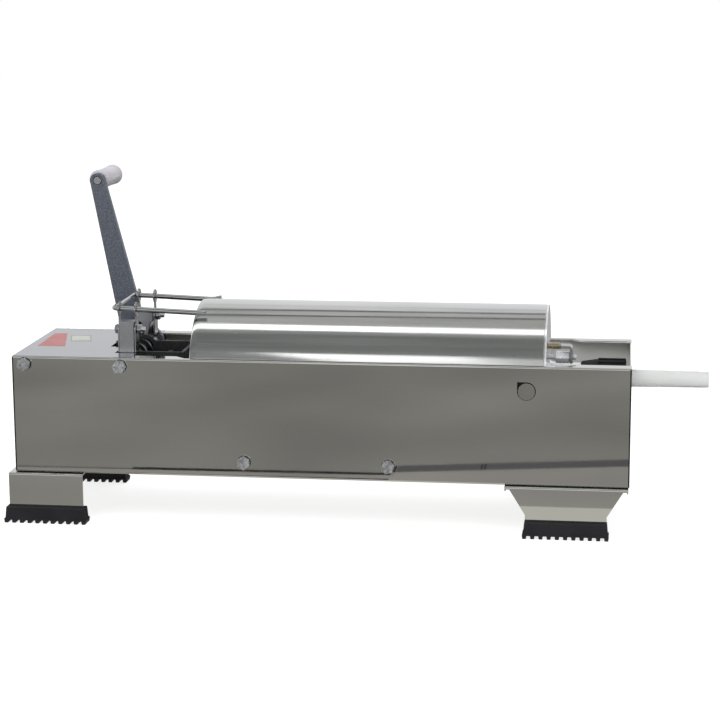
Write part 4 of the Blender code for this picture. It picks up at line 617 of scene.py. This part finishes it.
def buildCap(seat, thickness, rim, sleeve, sleeveEnd, tip, spout, bore, turns, pitch):
    face, (thin, thick) = seat + thickness, sleeve
    profile = [(tip, bore), (tip, spout - 0.6), (tip - 0.6, spout)]
    for step in range(turns):  # visible turns of the spout's thread
        ridge = tip - 1.7 - step * pitch
        profile += [(ridge, spout), (ridge - 0.6, spout - 0.7)]
    profile += [(face + 6, spout), (face + 2, 19), (face, 23), (face, rim - 0.5), (face - 0.5, rim),
                (seat + 0.5, rim), (seat, rim - 0.5), (seat, thick), (sleeveEnd, thick), (sleeveEnd, thin),
                (602.6, thin), (602.6, 20), (608.6, bore), (tip, bore)]
    turnedPiece("capPlate", profile, 128, (0, 0, axisZ), "capSheet", "front_cap")


nozzleLook = dict(root=650.6, neck=699, tip=787, flange=19.2, bore=14.2)


def buildNozzle(root, neck, tip, flange, bore):
    profile = [(root, bore), (root, flange - 0.6), (root + 0.6, flange), (root + 2.4, flange),
               (root + 3, flange - 0.6), (root + 3, 16.2), (root + 4, 15.4), (neck, 10.1), (tip - 0.8, 9.1),
               (tip, 8.7), (tip, 8.1), (tip - 0.6, 7.8), (neck, 8.8), (root, bore)]
    turnedPiece("nozzleTube", profile, 72, (0, 0, axisZ), "nozzlePlastic", "nozzle", smooth=40)


ringLook = dict(
    rear=643, front=694, radius=22.6, small=18.5, bore=17.4, throat=18, shoulder=18, ribs=16, ribWidth=3.4,
    ribHeight=2.4)


def buildRingNut(rear, front, radius, small, bore, throat, shoulder, ribs, ribWidth, ribHeight):
    cone = rear + shoulder
    profile = [(front, throat), (front, radius - 2.2), (front - 0.4, radius - 1.8), (cone + 1, radius - 1.8),
               (cone, radius - 1.5), (rear + 0.6, small), (rear, small - 0.6), (rear, bore), (650.4, bore),
               (650.4, 19.5), (653.9, 19.5), (653.9, throat), (front, throat)]
    work = bmesh.new()
    spunAlong(work, profile, 96, (0, 0, axisZ))
    for index in range(ribs):
        rib = bmesh.ops.create_cube(work, size=1.0)["verts"]
        bmesh.ops.scale(work, vec=(front - cone - 1.4, ribWidth, ribHeight), verts=rib)
        bevelled = bevelEdges(work, {edge for vert in rib for edge in vert.link_edges}, 0.7)
        rib = list({vert for face in bevelled["faces"] for vert in face.verts})
        moveVerts(work, ((front + cone + 0.6) / 2, 0, radius - ribHeight / 2), rib)
        turnVerts(work, tau * index / ribs, "X", rib)
        moveVerts(work, (0, 0, axisZ), rib)
    finishPiece("ringNutBody", work, "blackPlastic", "ring_nut", "ring_nut", 32)


buildCylinder(**cylinderLook)
buildCap(**capLook)
buildNozzle(**nozzleLook)
buildRingNut(**ringLook)
print("cylinder, cap, nozzle and ring nut built")


# lever, grip, screws, posts, straps and latch

def linkOutline(start, startRadius, end, endRadius, count=24):
    along = Vector(end) - Vector(start)
    heading = atan2(along.y, along.x)
    lean = pi / 2 - (startRadius - endRadius) / along.length
    return (arcPoints(end, endRadius, heading - lean, heading + lean, count)
            + arcPoints(start, startRadius, heading + lean, heading + tau - lean, count))


leverLook = dict(
    near=57, far=65, eye=(66.3, 185), eyeRadius=8.9, eyeBore=5.05, knee=(101.345, 26), kneeRadius=14.6,
    pivot=(126, -9.2), bossRadius=17, pivotBore=9.3)


def buildLever(near, far, eye, eyeRadius, eyeBore, knee, kneeRadius, pivot, bossRadius, pivotBore):
    blade = slabObject(linkOutline(knee, kneeRadius, eye, eyeRadius), near, far)
    crank = slabObject(linkOutline(pivot, bossRadius, knee, kneeRadius), near, far)
    holes = [drumObject(radius, (x, (near + far) / 2, z), 20, "y")
             for (x, z), radius in ((pivot, pivotBore), (eye, eyeBore))]
    carvedPiece("leverBar", blade, [("UNION", crank), *cuts(*holes)], "leverPaint", "lever", "lever",
                bevel=0.9)


gripLook = dict(
    start=65.3, length=69.5, radius=12, waist=0.75, bore=5.25, socket=7.9, tip=133.1, thick=4.75, head=7.5)


def buildGrip(start, length, radius, waist, bore, socket, tip, thick, head):
    end, (x, z) = start + length, leverLook["eye"]
    profile = [(start, bore), (start, 9.2), (start + 0.6, 10.6), (start + 2.2, radius)]
    profile += [(start + 2.2 + (length - 5) * step / 12, radius - waist * sin(pi * step / 12))
                for step in range(1, 12)]
    profile += [(end - 2.6, radius), (end - 0.8, 11.2), (end, 9.8), (end, 8.3), (end - 0.5, socket),
                (end - 5, socket), (end - 5, bore), (start, bore)]
    turnedPiece("gripSleeve", profile, 72, (x, 0, z), "gripPlastic", "grip", "grip", axis="y")
    bolt = [(57, 0), (57, 4.2), (57.5, thick), (tip - 3, thick), (tip - 3, head - 0.4), (tip - 2.6, head),
            (tip - 0.7, head), (tip, 6.6), (tip, 3.0), (tip - 1.5, 2.4), (tip - 1.5, 0)]
    turnedPiece("gripBolt", bolt, 48, (x, 0, z), "strapZinc", "grip_bolt", "lever", axis="y")


def hexPrism(work, centre, direction, acrossFlats, start, end):
    corner = acrossFlats / sqrt(3)
    made = bmesh.ops.create_cone(work, cap_ends=True, segments=6, radius1=corner, radius2=corner,
                                 depth=abs(end - start))["verts"]
    angle, axis, along = {"x": (pi / 2, "Y", Vector((1, 0, 0))), "y": (-pi / 2, "X", Vector((0, 1, 0)))}[direction]
    turnVerts(work, angle, axis, made)
    moveVerts(work, Vector(centre) + along * (start + end) / 2, made)
    return made


def hexHead(work, centre, acrossFlats, start, end, bevel):  # along x, with softened edges
    head = hexPrism(work, centre, "x", acrossFlats, start, end)
    bevelEdges(work, {edge for vert in head for edge in vert.link_edges if edge.calc_length() > 5}, bevel)


def threadProfile(start, end, radius, pitch=1.0, depth=0.45):
    points = []
    for turn in range(int((end - start) / pitch)):
        base = start + turn * pitch
        points += [(base, radius - depth), (base + pitch / 2, radius)]
    return points + [(end, radius - depth)]


screwLook = dict(
    acrossFlats=13.5, start=92.4, end=97.8, inset=0.9, chamfer=0.8, turn=(13, 37),
    shank=[(77.5, 0), (77.5, 3.4), (78, 3.8), (91.25, 3.8), (91.25, 7.4), (91.6, 7.75), (92.1, 7.75), (92.7, 6.9),
           (92.7, 0)])


def buildWallScrews(acrossFlats, start, end, inset, chamfer, turn, shank):
    nearTip = end - chamfer
    for sideName, side in sides:
        for index, (x, z) in enumerate(screwPlaces, start=1):
            work = bmesh.new()
            spunAlong(work, shank, 48, (0, 0, 0), "y")
            head = hexPrism(work, (0, 0, 0), "y", acrossFlats, start, end)
            top = [face for face in work.faces
                   if all(vert in head for vert in face.verts) and face.calc_center_median().y > nearTip]
            bmesh.ops.inset_region(work, faces=top, thickness=inset, depth=0.0)
            inner = {vert for face in top for vert in face.verts}
            rim = [vert for vert in head if vert.co.y > nearTip and vert not in inner]
            moveVerts(work, (0, -chamfer, 0), rim)
            turnVerts(work, radians(turn[0] + turn[1] * index), "Y")  # each head stands at its own angle
            if side < 0:
                turnVerts(work, pi, "Z")
            moveVerts(work, (x, 0, z))
            finishPiece(f"{sideName}WallScrew{index}", work, "screwZinc", f"{sideName}_wall_screw_{index}",
                        smooth=28)


postLook = dict(
    x=126, y=47.5, half=8.5, pivotZ=-9.2, boltZ=26, boltHole=3.3, stem=4.5, nearY=(-57, -37.3), low=-40, high=35.5,
    nearBore=6.3, farY=(37.3, 56.7), farTop=33, headHeight=13.5, eye=12.5, farBore=9.4)


def buildPosts(x, y, half, pivotZ, boltZ, boltHole, stem, nearY, low, high, nearBore, farY, farTop, headHeight,
               eye, farBore):
    near = slabObject([(x - half, low), (x + half, low), (x + half, high), (x - half, high)], *nearY)
    headLow, fillet = farTop - headHeight, half - stem
    right = [(x + stem + a, headLow - fillet + b) for a, b in arcPoints((fillet, 0), fillet, pi, pi / 2, 8)]
    lead = atan2(2.5, eye)
    outline = [(x - half, farTop), (x + half, farTop), *reversed(right),
               *arcPoints((x, pivotZ), eye, pi / 2 - lead, lead - 3 * pi / 2, 48),
               *[(2 * x - a, b) for a, b in right]]
    far = slabObject(outline, *farY)
    for name, post, side, bore, bevel in (("near", near, -1, nearBore, 0.9), ("far", far, 1, farBore, 0.6)):
        tools = cuts(drumObject(bore, (x, side * 47, pivotZ), 30, "y"),
                     drumObject(boltHole, (x, side * y, boltZ), 30, "x"))
        carvedPiece(f"{name}PostBar", post, tools, "postSteel", f"{name}_post", bevel=bevel)


latchLook = dict(radius=3, rear=109.8, tip=218, bend=4.2, half=47.5, flick=14, tipRound=0.8)


def latchHeight(x):  # the rod slopes down towards its tips
    return 45.8 + 0.04 * (latchLook["tip"] - x)


strapLook = dict(
    half=8.25, stem=3, feet={"near": -25, "far": 1.5}, rodHole=3.4, boltHole=3.3,
    plates={"rear": (115.5, 117.2), "front": (134.8, 136.5)}, thick=3.0, acrossFlats=10, headX=(111.2, 115.2),
    nutX=(136.8, 141.8), start=110.3, end=146.4, bevel=0.45)


def buildStraps(half, stem, feet, rodHole, boltHole, plates, thick, acrossFlats, headX, nutX, start, end, bevel):
    boltZ, corner, waist = postLook["boltZ"], acrossFlats / sqrt(3), acos(stem / half)
    for sideName, side in sides:
        y, bottom = side * postLook["y"], feet[sideName]
        for placing, span in plates.items():
            middle = sum(span) / 2
            hole = latchHeight(middle)
            outline = [(y - half, bottom), (y + half, bottom), *arcPoints((y, boltZ), half, 0, waist, 8),
                       *arcPoints((y, hole), half, -waist, pi + waist, 40),
                       *arcPoints((y, boltZ), half, pi - waist, pi, 8)]
            tools = cuts(drumObject(rodHole, (middle, y, hole), 10, "x"),
                         drumObject(boltHole, (middle, y, boltZ), 10, "x"))
            strap = slabObject(outline, *span, "x")
            carvedPiece(f"{sideName}{placing.capitalize()}Strap", strap, tools, "strapZinc",
                        f"{sideName}_{placing}_strap", bevel=0.4)
        bolt = bmesh.new()
        profile = [(start, 0), (start, 2.9), (134, thick), *threadProfile(134.5, 146, thick), (end, 2.2), (end, 0)]
        spunAlong(bolt, profile, 40, (0, y, boltZ))
        hexHead(bolt, (0, y, boltZ), acrossFlats, *headX, bevel)
        finishPiece(f"{sideName}StrapBolt", bolt, "zincPlate", f"{sideName}_strap_bolt")
        nut = slabObject([(y + corner * cos(tau * k / 6), boltZ + corner * sin(tau * k / 6)) for k in range(6)],
                         *nutX, "x")
        carvedPiece(f"{sideName}StrapNut", nut, cuts(drumObject(boltHole, (140, y, boltZ), 10, "x")),
                    "zincPlate", f"{sideName}_strap_nut", bevel=bevel)


def buildLatch(radius, rear, tip, bend, half, flick, tipRound):
    flat = [(x, -half) for x in (tip - 1.2, 190, 160, 135, 120)]
    flat += arcPoints((rear + bend, -half + bend), bend, -pi / 2, -pi, 10)
    flat += [(rear, y) for y in (-30, -10, 10, 30)]
    flat += arcPoints((rear + bend, half - bend), bend, pi, pi / 2, 10)
    flat += [(x, half) for x in (120, 135, 160, 190, tip - flick)]
    path = [(x, y, latchHeight(x)) for x, y in flat]  # and the far tip is flicked up
    path += [(tip - 9, half, latchHeight(tip) + 0.9), (tip - 1.2, half, latchHeight(tip) + 2.8)]
    curve = bpy.data.curves.new("latch", "CURVE")
    curve.dimensions, curve.bevel_depth, curve.bevel_resolution, curve.use_fill_caps = "3D", radius, 8, True
    spline = curve.splines.new("POLY")
    spline.points.add(len(path) - 1)
    for point, at in zip(spline.points, path):
        point.co = (*at, 1)
    work = workFrom(carvedMesh(newObject("latch", curve), []))
    bmesh.ops.remove_doubles(work, verts=work.verts, dist=0.001)
    caps = [face for face in work.faces if len(face.verts) > 6]
    bevelEdges(work, {edge for face in caps for edge in face.edges}, tipRound, 3)
    finishPiece("latchRod", work, "chromePlate", "latch_fork", "latch_fork", 35)


buildLever(**leverLook)
buildGrip(**gripLook)
buildWallScrews(**screwLook)
buildPosts(**postLook)
buildStraps(**strapLook)
buildLatch(**latchLook)
print("lever, grip, screws, posts, straps and latch built")


# clamps on the cap, and the push rod

clampLook = dict(
    gap=0.3, aside=50, above=45, studLength=15, studRadius=4, strap=3, half=8, reach=28.5, leg=18.5, bend=4.5,
    drop=12.5, thick=3.0, hole=3.3, acrossFlats=13, headLength=15.5, headGap=3.3, bevel=0.6)


def buildClamps(gap, aside, above, studLength, studRadius, strap, half, reach, leg, bend, drop, thick, hole,
                acrossFlats, headLength, headGap, bevel):
    root = capLook["seat"] + capLook["thickness"] + gap
    start, end, studEnd = root + studLength + gap, root + reach, root + studLength
    headEnd = end - headGap
    for sideName, side in sides:
        y, up = side * aside, -side
        z = axisZ + up * above
        screwZ = z - up * drop
        stud = [(root, 0), (root, 3.4), (root + 0.5, studRadius),
                *threadProfile(root + 1, root + 14.2, studRadius, 1.2, 0.55), (studEnd, 3.2), (studEnd, 0)]
        turnedPiece(f"{sideName}ClampStud", stud, 40, (0, y, z), "turnedBrass", f"clamp_stud_{sideName}")
        bent = (end - bend, strap / 2 - bend)
        outline = [(start, -strap / 2), (start, strap / 2), *arcPoints(bent, bend, pi / 2, 0, 10), (end, -leg),
                   (end - strap, -leg), *arcPoints(bent, bend - strap, 0, pi / 2, 6)]
        bracket = slabObject([(x, z + up * rise) for x, rise in outline], y - half, y + half)
        tools = cuts(drumObject(hole, (end - strap / 2, y, screwZ), 12, "x"))
        carvedPiece(f"{sideName}ClampBracket", bracket, tools, "strapZinc", f"clamp_bracket_{sideName}",
                    bevel=0.5)
        screw = bmesh.new()
        profile = [(root, 0), (root, 2.5), *threadProfile(root + 0.5, root + 10, thick, 0.9, 0.35),
                   (headEnd, thick), *threadProfile(end - 3, end + 3.5, thick, 0.9, 0.35), (end + 4, 2.3),
                   (end + 4, 0)]
        spunAlong(screw, profile, 40, (0, y, screwZ))
        hexHead(screw, (0, y, screwZ), acrossFlats, headEnd - headLength, headEnd, bevel)
        finishPiece(f"{sideName}ClampScrew", screw, "nutZinc", f"clamp_screw_{sideName}")


rodLook = dict(rear=8, radius=8, shoulder=546, tip=567, thin=5)


def buildRod(rear, radius, shoulder, tip, thin):
    profile = [(rear, 0), (rear, radius - 1.5), (rear + 1.5, radius), (shoulder - 1, radius), (shoulder, 7.4),
               (shoulder, thin), *threadProfile(tip - 5, tip - 1, thin, 1.25, 0.6), (tip, 3.8), (tip, 0)]
    turnedPiece("pushRodBar", profile, 64, (0, 0, axisZ), "chromePlate", "push_rod", "push_rod")


buildClamps(**clampLook)
buildRod(**rodLook)
print("clamps and push rod built")

# a generic label on the cover, without any lettering: corners, lift and finish of each patch
labelPatches = {
    "labelRedPatch": ([(11.5, -26), (44.5, -26), (24, 57), (9, 55)], 0.02, "labelRed"),
    "labelFrame": ([(42, 6.5), (66.5, 9), (56.5, 47.5), (32, 45)], 0.02, "labelTrim"),
    "labelPlate": ([(42.5, 10.5), (64, 13), (56, 43), (34.5, 41)], 0.06, "labelFilm"),
}
labelFilmThickness = 0.05
for name, (corners, lift, finishName) in labelPatches.items():
    work = bmesh.new()
    slabFromOutline(work, corners, lift, lift + labelFilmThickness, "z")
    finishPiece(name, work, finishName)

# finishes of the solids that stay
keptFinishes = {
    "polishedSheet": ["rear_end_plate", "front_end_plate"],
    "cylinderSheet": ["piston"],
    "machinedSteel": ["cover_rod", "rear_cradle_rod", "front_cradle_rod", "pivot_shaft", "drive_spring",
                      "lock_spring"],
    # crank fork, drive plate and lock plate take the painted shade steel, which stands in for the shade inside the
    # mechanism window
    "paintedShadeSteel": ["crank_fork", "drive_plate", "lock_plate"],
    "zincPlate": ["near_spacer", "far_spacer", "piston_nut"],
    "turnedBrass": ["front_guide_bush", "rear_guide_bush"],
    "framePaint": ["mechanism_frame"],
    "sealRubber": ["piston_seal"],
}
for finishName, names in keptFinishes.items():
    for name in names:
        slots = nodes[name].data.materials
        slots.clear()
        slots.append(finishes[finishName])
print("label placed and kept solids finished")


# studio: floor, world, lamps, cards and camera

floorLook = dict(glow=0.80, tone=0.34, z=-192.5, reach=9000)
worldStrength = 0.85
lampTarget = (350, 0, -60)


def planePiece(name, corners, material):
    work = bmesh.new()
    work.faces.new([work.verts.new(place(*corner)) for corner in corners])
    mesh = meshFrom(work, name)
    mesh.materials.append(material)
    obj = newObject(name, mesh)
    return obj


def studioCard(name, corners, strength, colour):  # only mirrors see it, and its strength drifts a little
    material = bpy.data.materials.new(name)
    material.use_nodes = True
    tree = material.node_tree
    tree.nodes.clear()
    level = addNode(tree, "MapRange", {"Value": noise(tree, 2.6, Detail=1.0), "From Min": 0.3, "From Max": 0.7,
                                       "To Min": strength * 0.84, "To Max": strength * 1.16})
    glow = addNode(tree, "Emission", {"Color": (*colour, 1), "Strength": level.outputs["Result"]})
    addNode(tree, "OutputMaterial", {"Surface": glow.outputs[0]})
    card = planePiece(name, corners, material)
    for ray in ("camera", "diffuse", "shadow", "transmission", "volume_scatter"):
        setattr(card, "visible_" + ray, False)


def buildFloor(glow, tone, z, reach):
    tree, shader = startMaterial("paleFloor", {"Base Color": (tone, tone, tone * 0.995, 1), "Roughness": 0.9,
                                               "Specular IOR Level": 0.0, "Emission Color": (1, 1, 1, 1)})
    paths = addNode(tree, "LightPath").outputs
    seen = maths(tree, "MAXIMUM", maths(tree, "MAXIMUM", paths["Is Camera Ray"], paths["Is Glossy Ray"]),
                 paths["Is Transmission Ray"])
    feed(tree, maths(tree, "MULTIPLY", seen, glow), shader.inputs["Emission Strength"])
    back = addNode(tree, "NewGeometry").outputs["Backfacing"]  # seen from below, the floor is open
    clear = addNode(tree, "BsdfTransparent").outputs[0]
    mix = addNode(tree, "MixShader", {"Fac": back, 1: shader.outputs[0], 2: clear})
    feed(tree, mix.outputs[0], tree.nodes["Material Output"].inputs["Surface"])
    planePiece("studioFloor", [(-reach, -reach, z), (reach, -reach, z), (reach, reach, z), (-reach, reach, z)],
               finishes["paleFloor"])


def buildWorld(strength):
    world = bpy.data.worlds.new("studioWorld")
    bpy.context.scene.world = world
    world.use_nodes = True
    tree = world.node_tree
    tree.nodes.clear()
    soft = addNode(tree, "Background", {"Color": (0.97, 0.985, 1.0, 1), "Strength": strength})
    plain = addNode(tree, "Background", {"Color": (1, 1, 1, 1), "Strength": 1.0})
    paths = addNode(tree, "LightPath").outputs
    seen = maths(tree, "MAXIMUM", paths["Is Camera Ray"], paths["Is Transmission Ray"])
    mix = addNode(tree, "MixShader", {"Fac": seen, 1: soft.outputs[0], 2: plain.outputs[0]})
    addNode(tree, "OutputWorld", {"Surface": mix.outputs[0]})


def addLamp(name, at, size, energy):
    data = bpy.data.lights.new(name, "AREA")
    data.shape, data.size, data.energy = "SQUARE", size, energy
    lamp = newObject(name, data)
    lamp.location = place(*at)
    lamp.rotation_euler = (place(*lampTarget) - place(*at)).to_track_quat("-Z", "Y").to_euler()
    lamp.visible_glossy = False


buildFloor(**floorLook)
buildWorld(worldStrength)
addLamp("keyLamp", (-300, -1500, 1900), 1.6, 40)
addLamp("fillLamp", (1700, -1100, 1300), 1.8, 16)
addLamp("rimLamp", (300, 1500, 1700), 1.6, 16)

# the polished front shows the table in front of it and, past its edge, the darker room
stepX, lipX, farX, tableZ = 410, 77, 3500, -189
white, warm, cool = (1.0, 1.0, 1.0), (1.0, 0.965, 0.92), (1.0, 0.995, 0.95)
yellow, blue = (1.0, 1.0, 0.93), (1.0, 1.0, 1.06)


def roomLine(x):  # far side of the dark strip, on the room's side
    return -379.6 - 0.2263 * (x - stepX)


def tableLine(x):  # near side of the dark strip, on the table's side
    return -345.9 - 0.2122 * (x - stepX)


def lipLine(x):  # where the table stops to show at the left of the step
    return -323 - 0.019 * (x - lipX)


def floorCard(name, outline, strength, colour=white, lift=0.0):
    studioCard(name, [(x, y, tableZ + lift) for x, y in outline], strength, colour)


def stripCard(name, start, end, lower, upper, low, high, strength, colour=white, lift=0.2):
    floorCard(name, [(start, lower(start) + low), (end, lower(end) + low), (end, upper(end) + high),
                     (start, upper(start) + high)], strength, colour, lift)


floorCard("tableCard", [(-2500, lipLine(-2500)), (stepX, lipLine(stepX)), (stepX, tableLine(stepX)),
                        (farX, tableLine(farX)), (farX, 2500), (-2500, 2500)], 0.37, warm)
floorCard("nearTableCard", [(130, -214), (farX, -214), (farX, -98), (130, -98)], 0.64, yellow, 0.2)
floorCard("roomCard", [(-4500, -4500), (4500, -4500), (4500, roomLine(4500)), (stepX, roomLine(stepX)),
                       (stepX, lipLine(stepX)), (-4500, lipLine(-4500))], 0.29, cool)
stripCard("edgeCard", stepX, farX, roomLine, tableLine, -6, 6, 0.125, blue, -0.3)
stripCard("lipCard", lipX, stepX - 4, lipLine, lipLine, -12, 0, 0.03)
stripCard("lowLipCard", lipX, stepX - 4, lipLine, lipLine, 18, 26, 0.05)
stripCard("rearLipCard", -400, lipX, lipLine, lipLine, -6, 0, 0.11)
for index, (x, width) in enumerate(((stepX - 3, 3), (515.4, 1.7), (519.6, 1.7))):
    floorCard(f"edgeMark{index}", [(x, roomLine(x)), (x + width, roomLine(x)), (x + width, tableLine(x)),
                                   (x, tableLine(x))], 0.02, lift=0.1)

ceilingBands = {  # near and far edge, strength, colour, height, slant, left and right end
    "ceilingFar": (-4500, -2600, 0.25, (0.97, 0.98, 1.0)),
    "ceilingFront": (-2600, -760, 0.21, (0.97, 1.0, 0.985)),
    "ceilingNear": (-760, -465, 0.31, (0.97, 1.0, 0.985)),
    "ceilingStrip": (-465, -40, 1.8, white),
    "ceilingBack": (-40, 880, 0.46, (1.0, 1.0, 0.97)),
    "ceilingGap": (790, 965, 0.12, white, 2292, 0.2),
    "ceilingRear": (880, 1700, 0.52, white),
    "ceilingSlot": (1530, 1830, 0.16, white, 2292, 0.2),
    "ceilingTop": (1700, 3200, 0.72, white),
    "frontLight": (-4400, -2850, 1.6, white, 2290, 0, -380, 260),
    "sideLight": (-4400, -3100, 0.6, white, 2290, 0, 260, 900),
}


def ceilingCard(name, low, high, strength, colour, height=2300, slant=0, left=-4500, right=4500):
    corners = [(x, y + slant * x, height) for x, y in ((left, low), (right, low), (right, high), (left, high))]
    studioCard(name, corners, strength, colour)


for name, values in ceilingBands.items():
    ceilingCard(name, *values)

cameraLook = dict(
    at=(686.61, -2257.34, 431.07), yaw=0.1315, pitch=0.1931, roll=-0.0046, sensor=36.0, focalPixels=2001.9,
    imagePixels=720)


def buildCamera(at, yaw, pitch, roll, sensor, focalPixels, imagePixels):
    forward = Vector((-sin(yaw) * cos(pitch), cos(yaw) * cos(pitch), -sin(pitch)))
    right = Vector((cos(yaw), sin(yaw), 0))
    up = right.cross(forward)
    data = bpy.data.cameras.new("photoCamera")
    data.sensor_width, data.lens = sensor, focalPixels / imagePixels * sensor
    data.clip_start, data.clip_end = 0.05, 60
    camera = newObject("photoCamera", data)
    matrix = Matrix((cos(roll) * right + sin(roll) * up, cos(roll) * up - sin(roll) * right, -forward))
    matrix = matrix.transposed().to_4x4()
    matrix.translation = place(*at)
    camera.matrix_world = matrix
    bpy.context.scene.camera = camera


buildCamera(**cameraLook)
bpy.context.scene.view_settings.view_transform = "Standard"
print("studio ready")
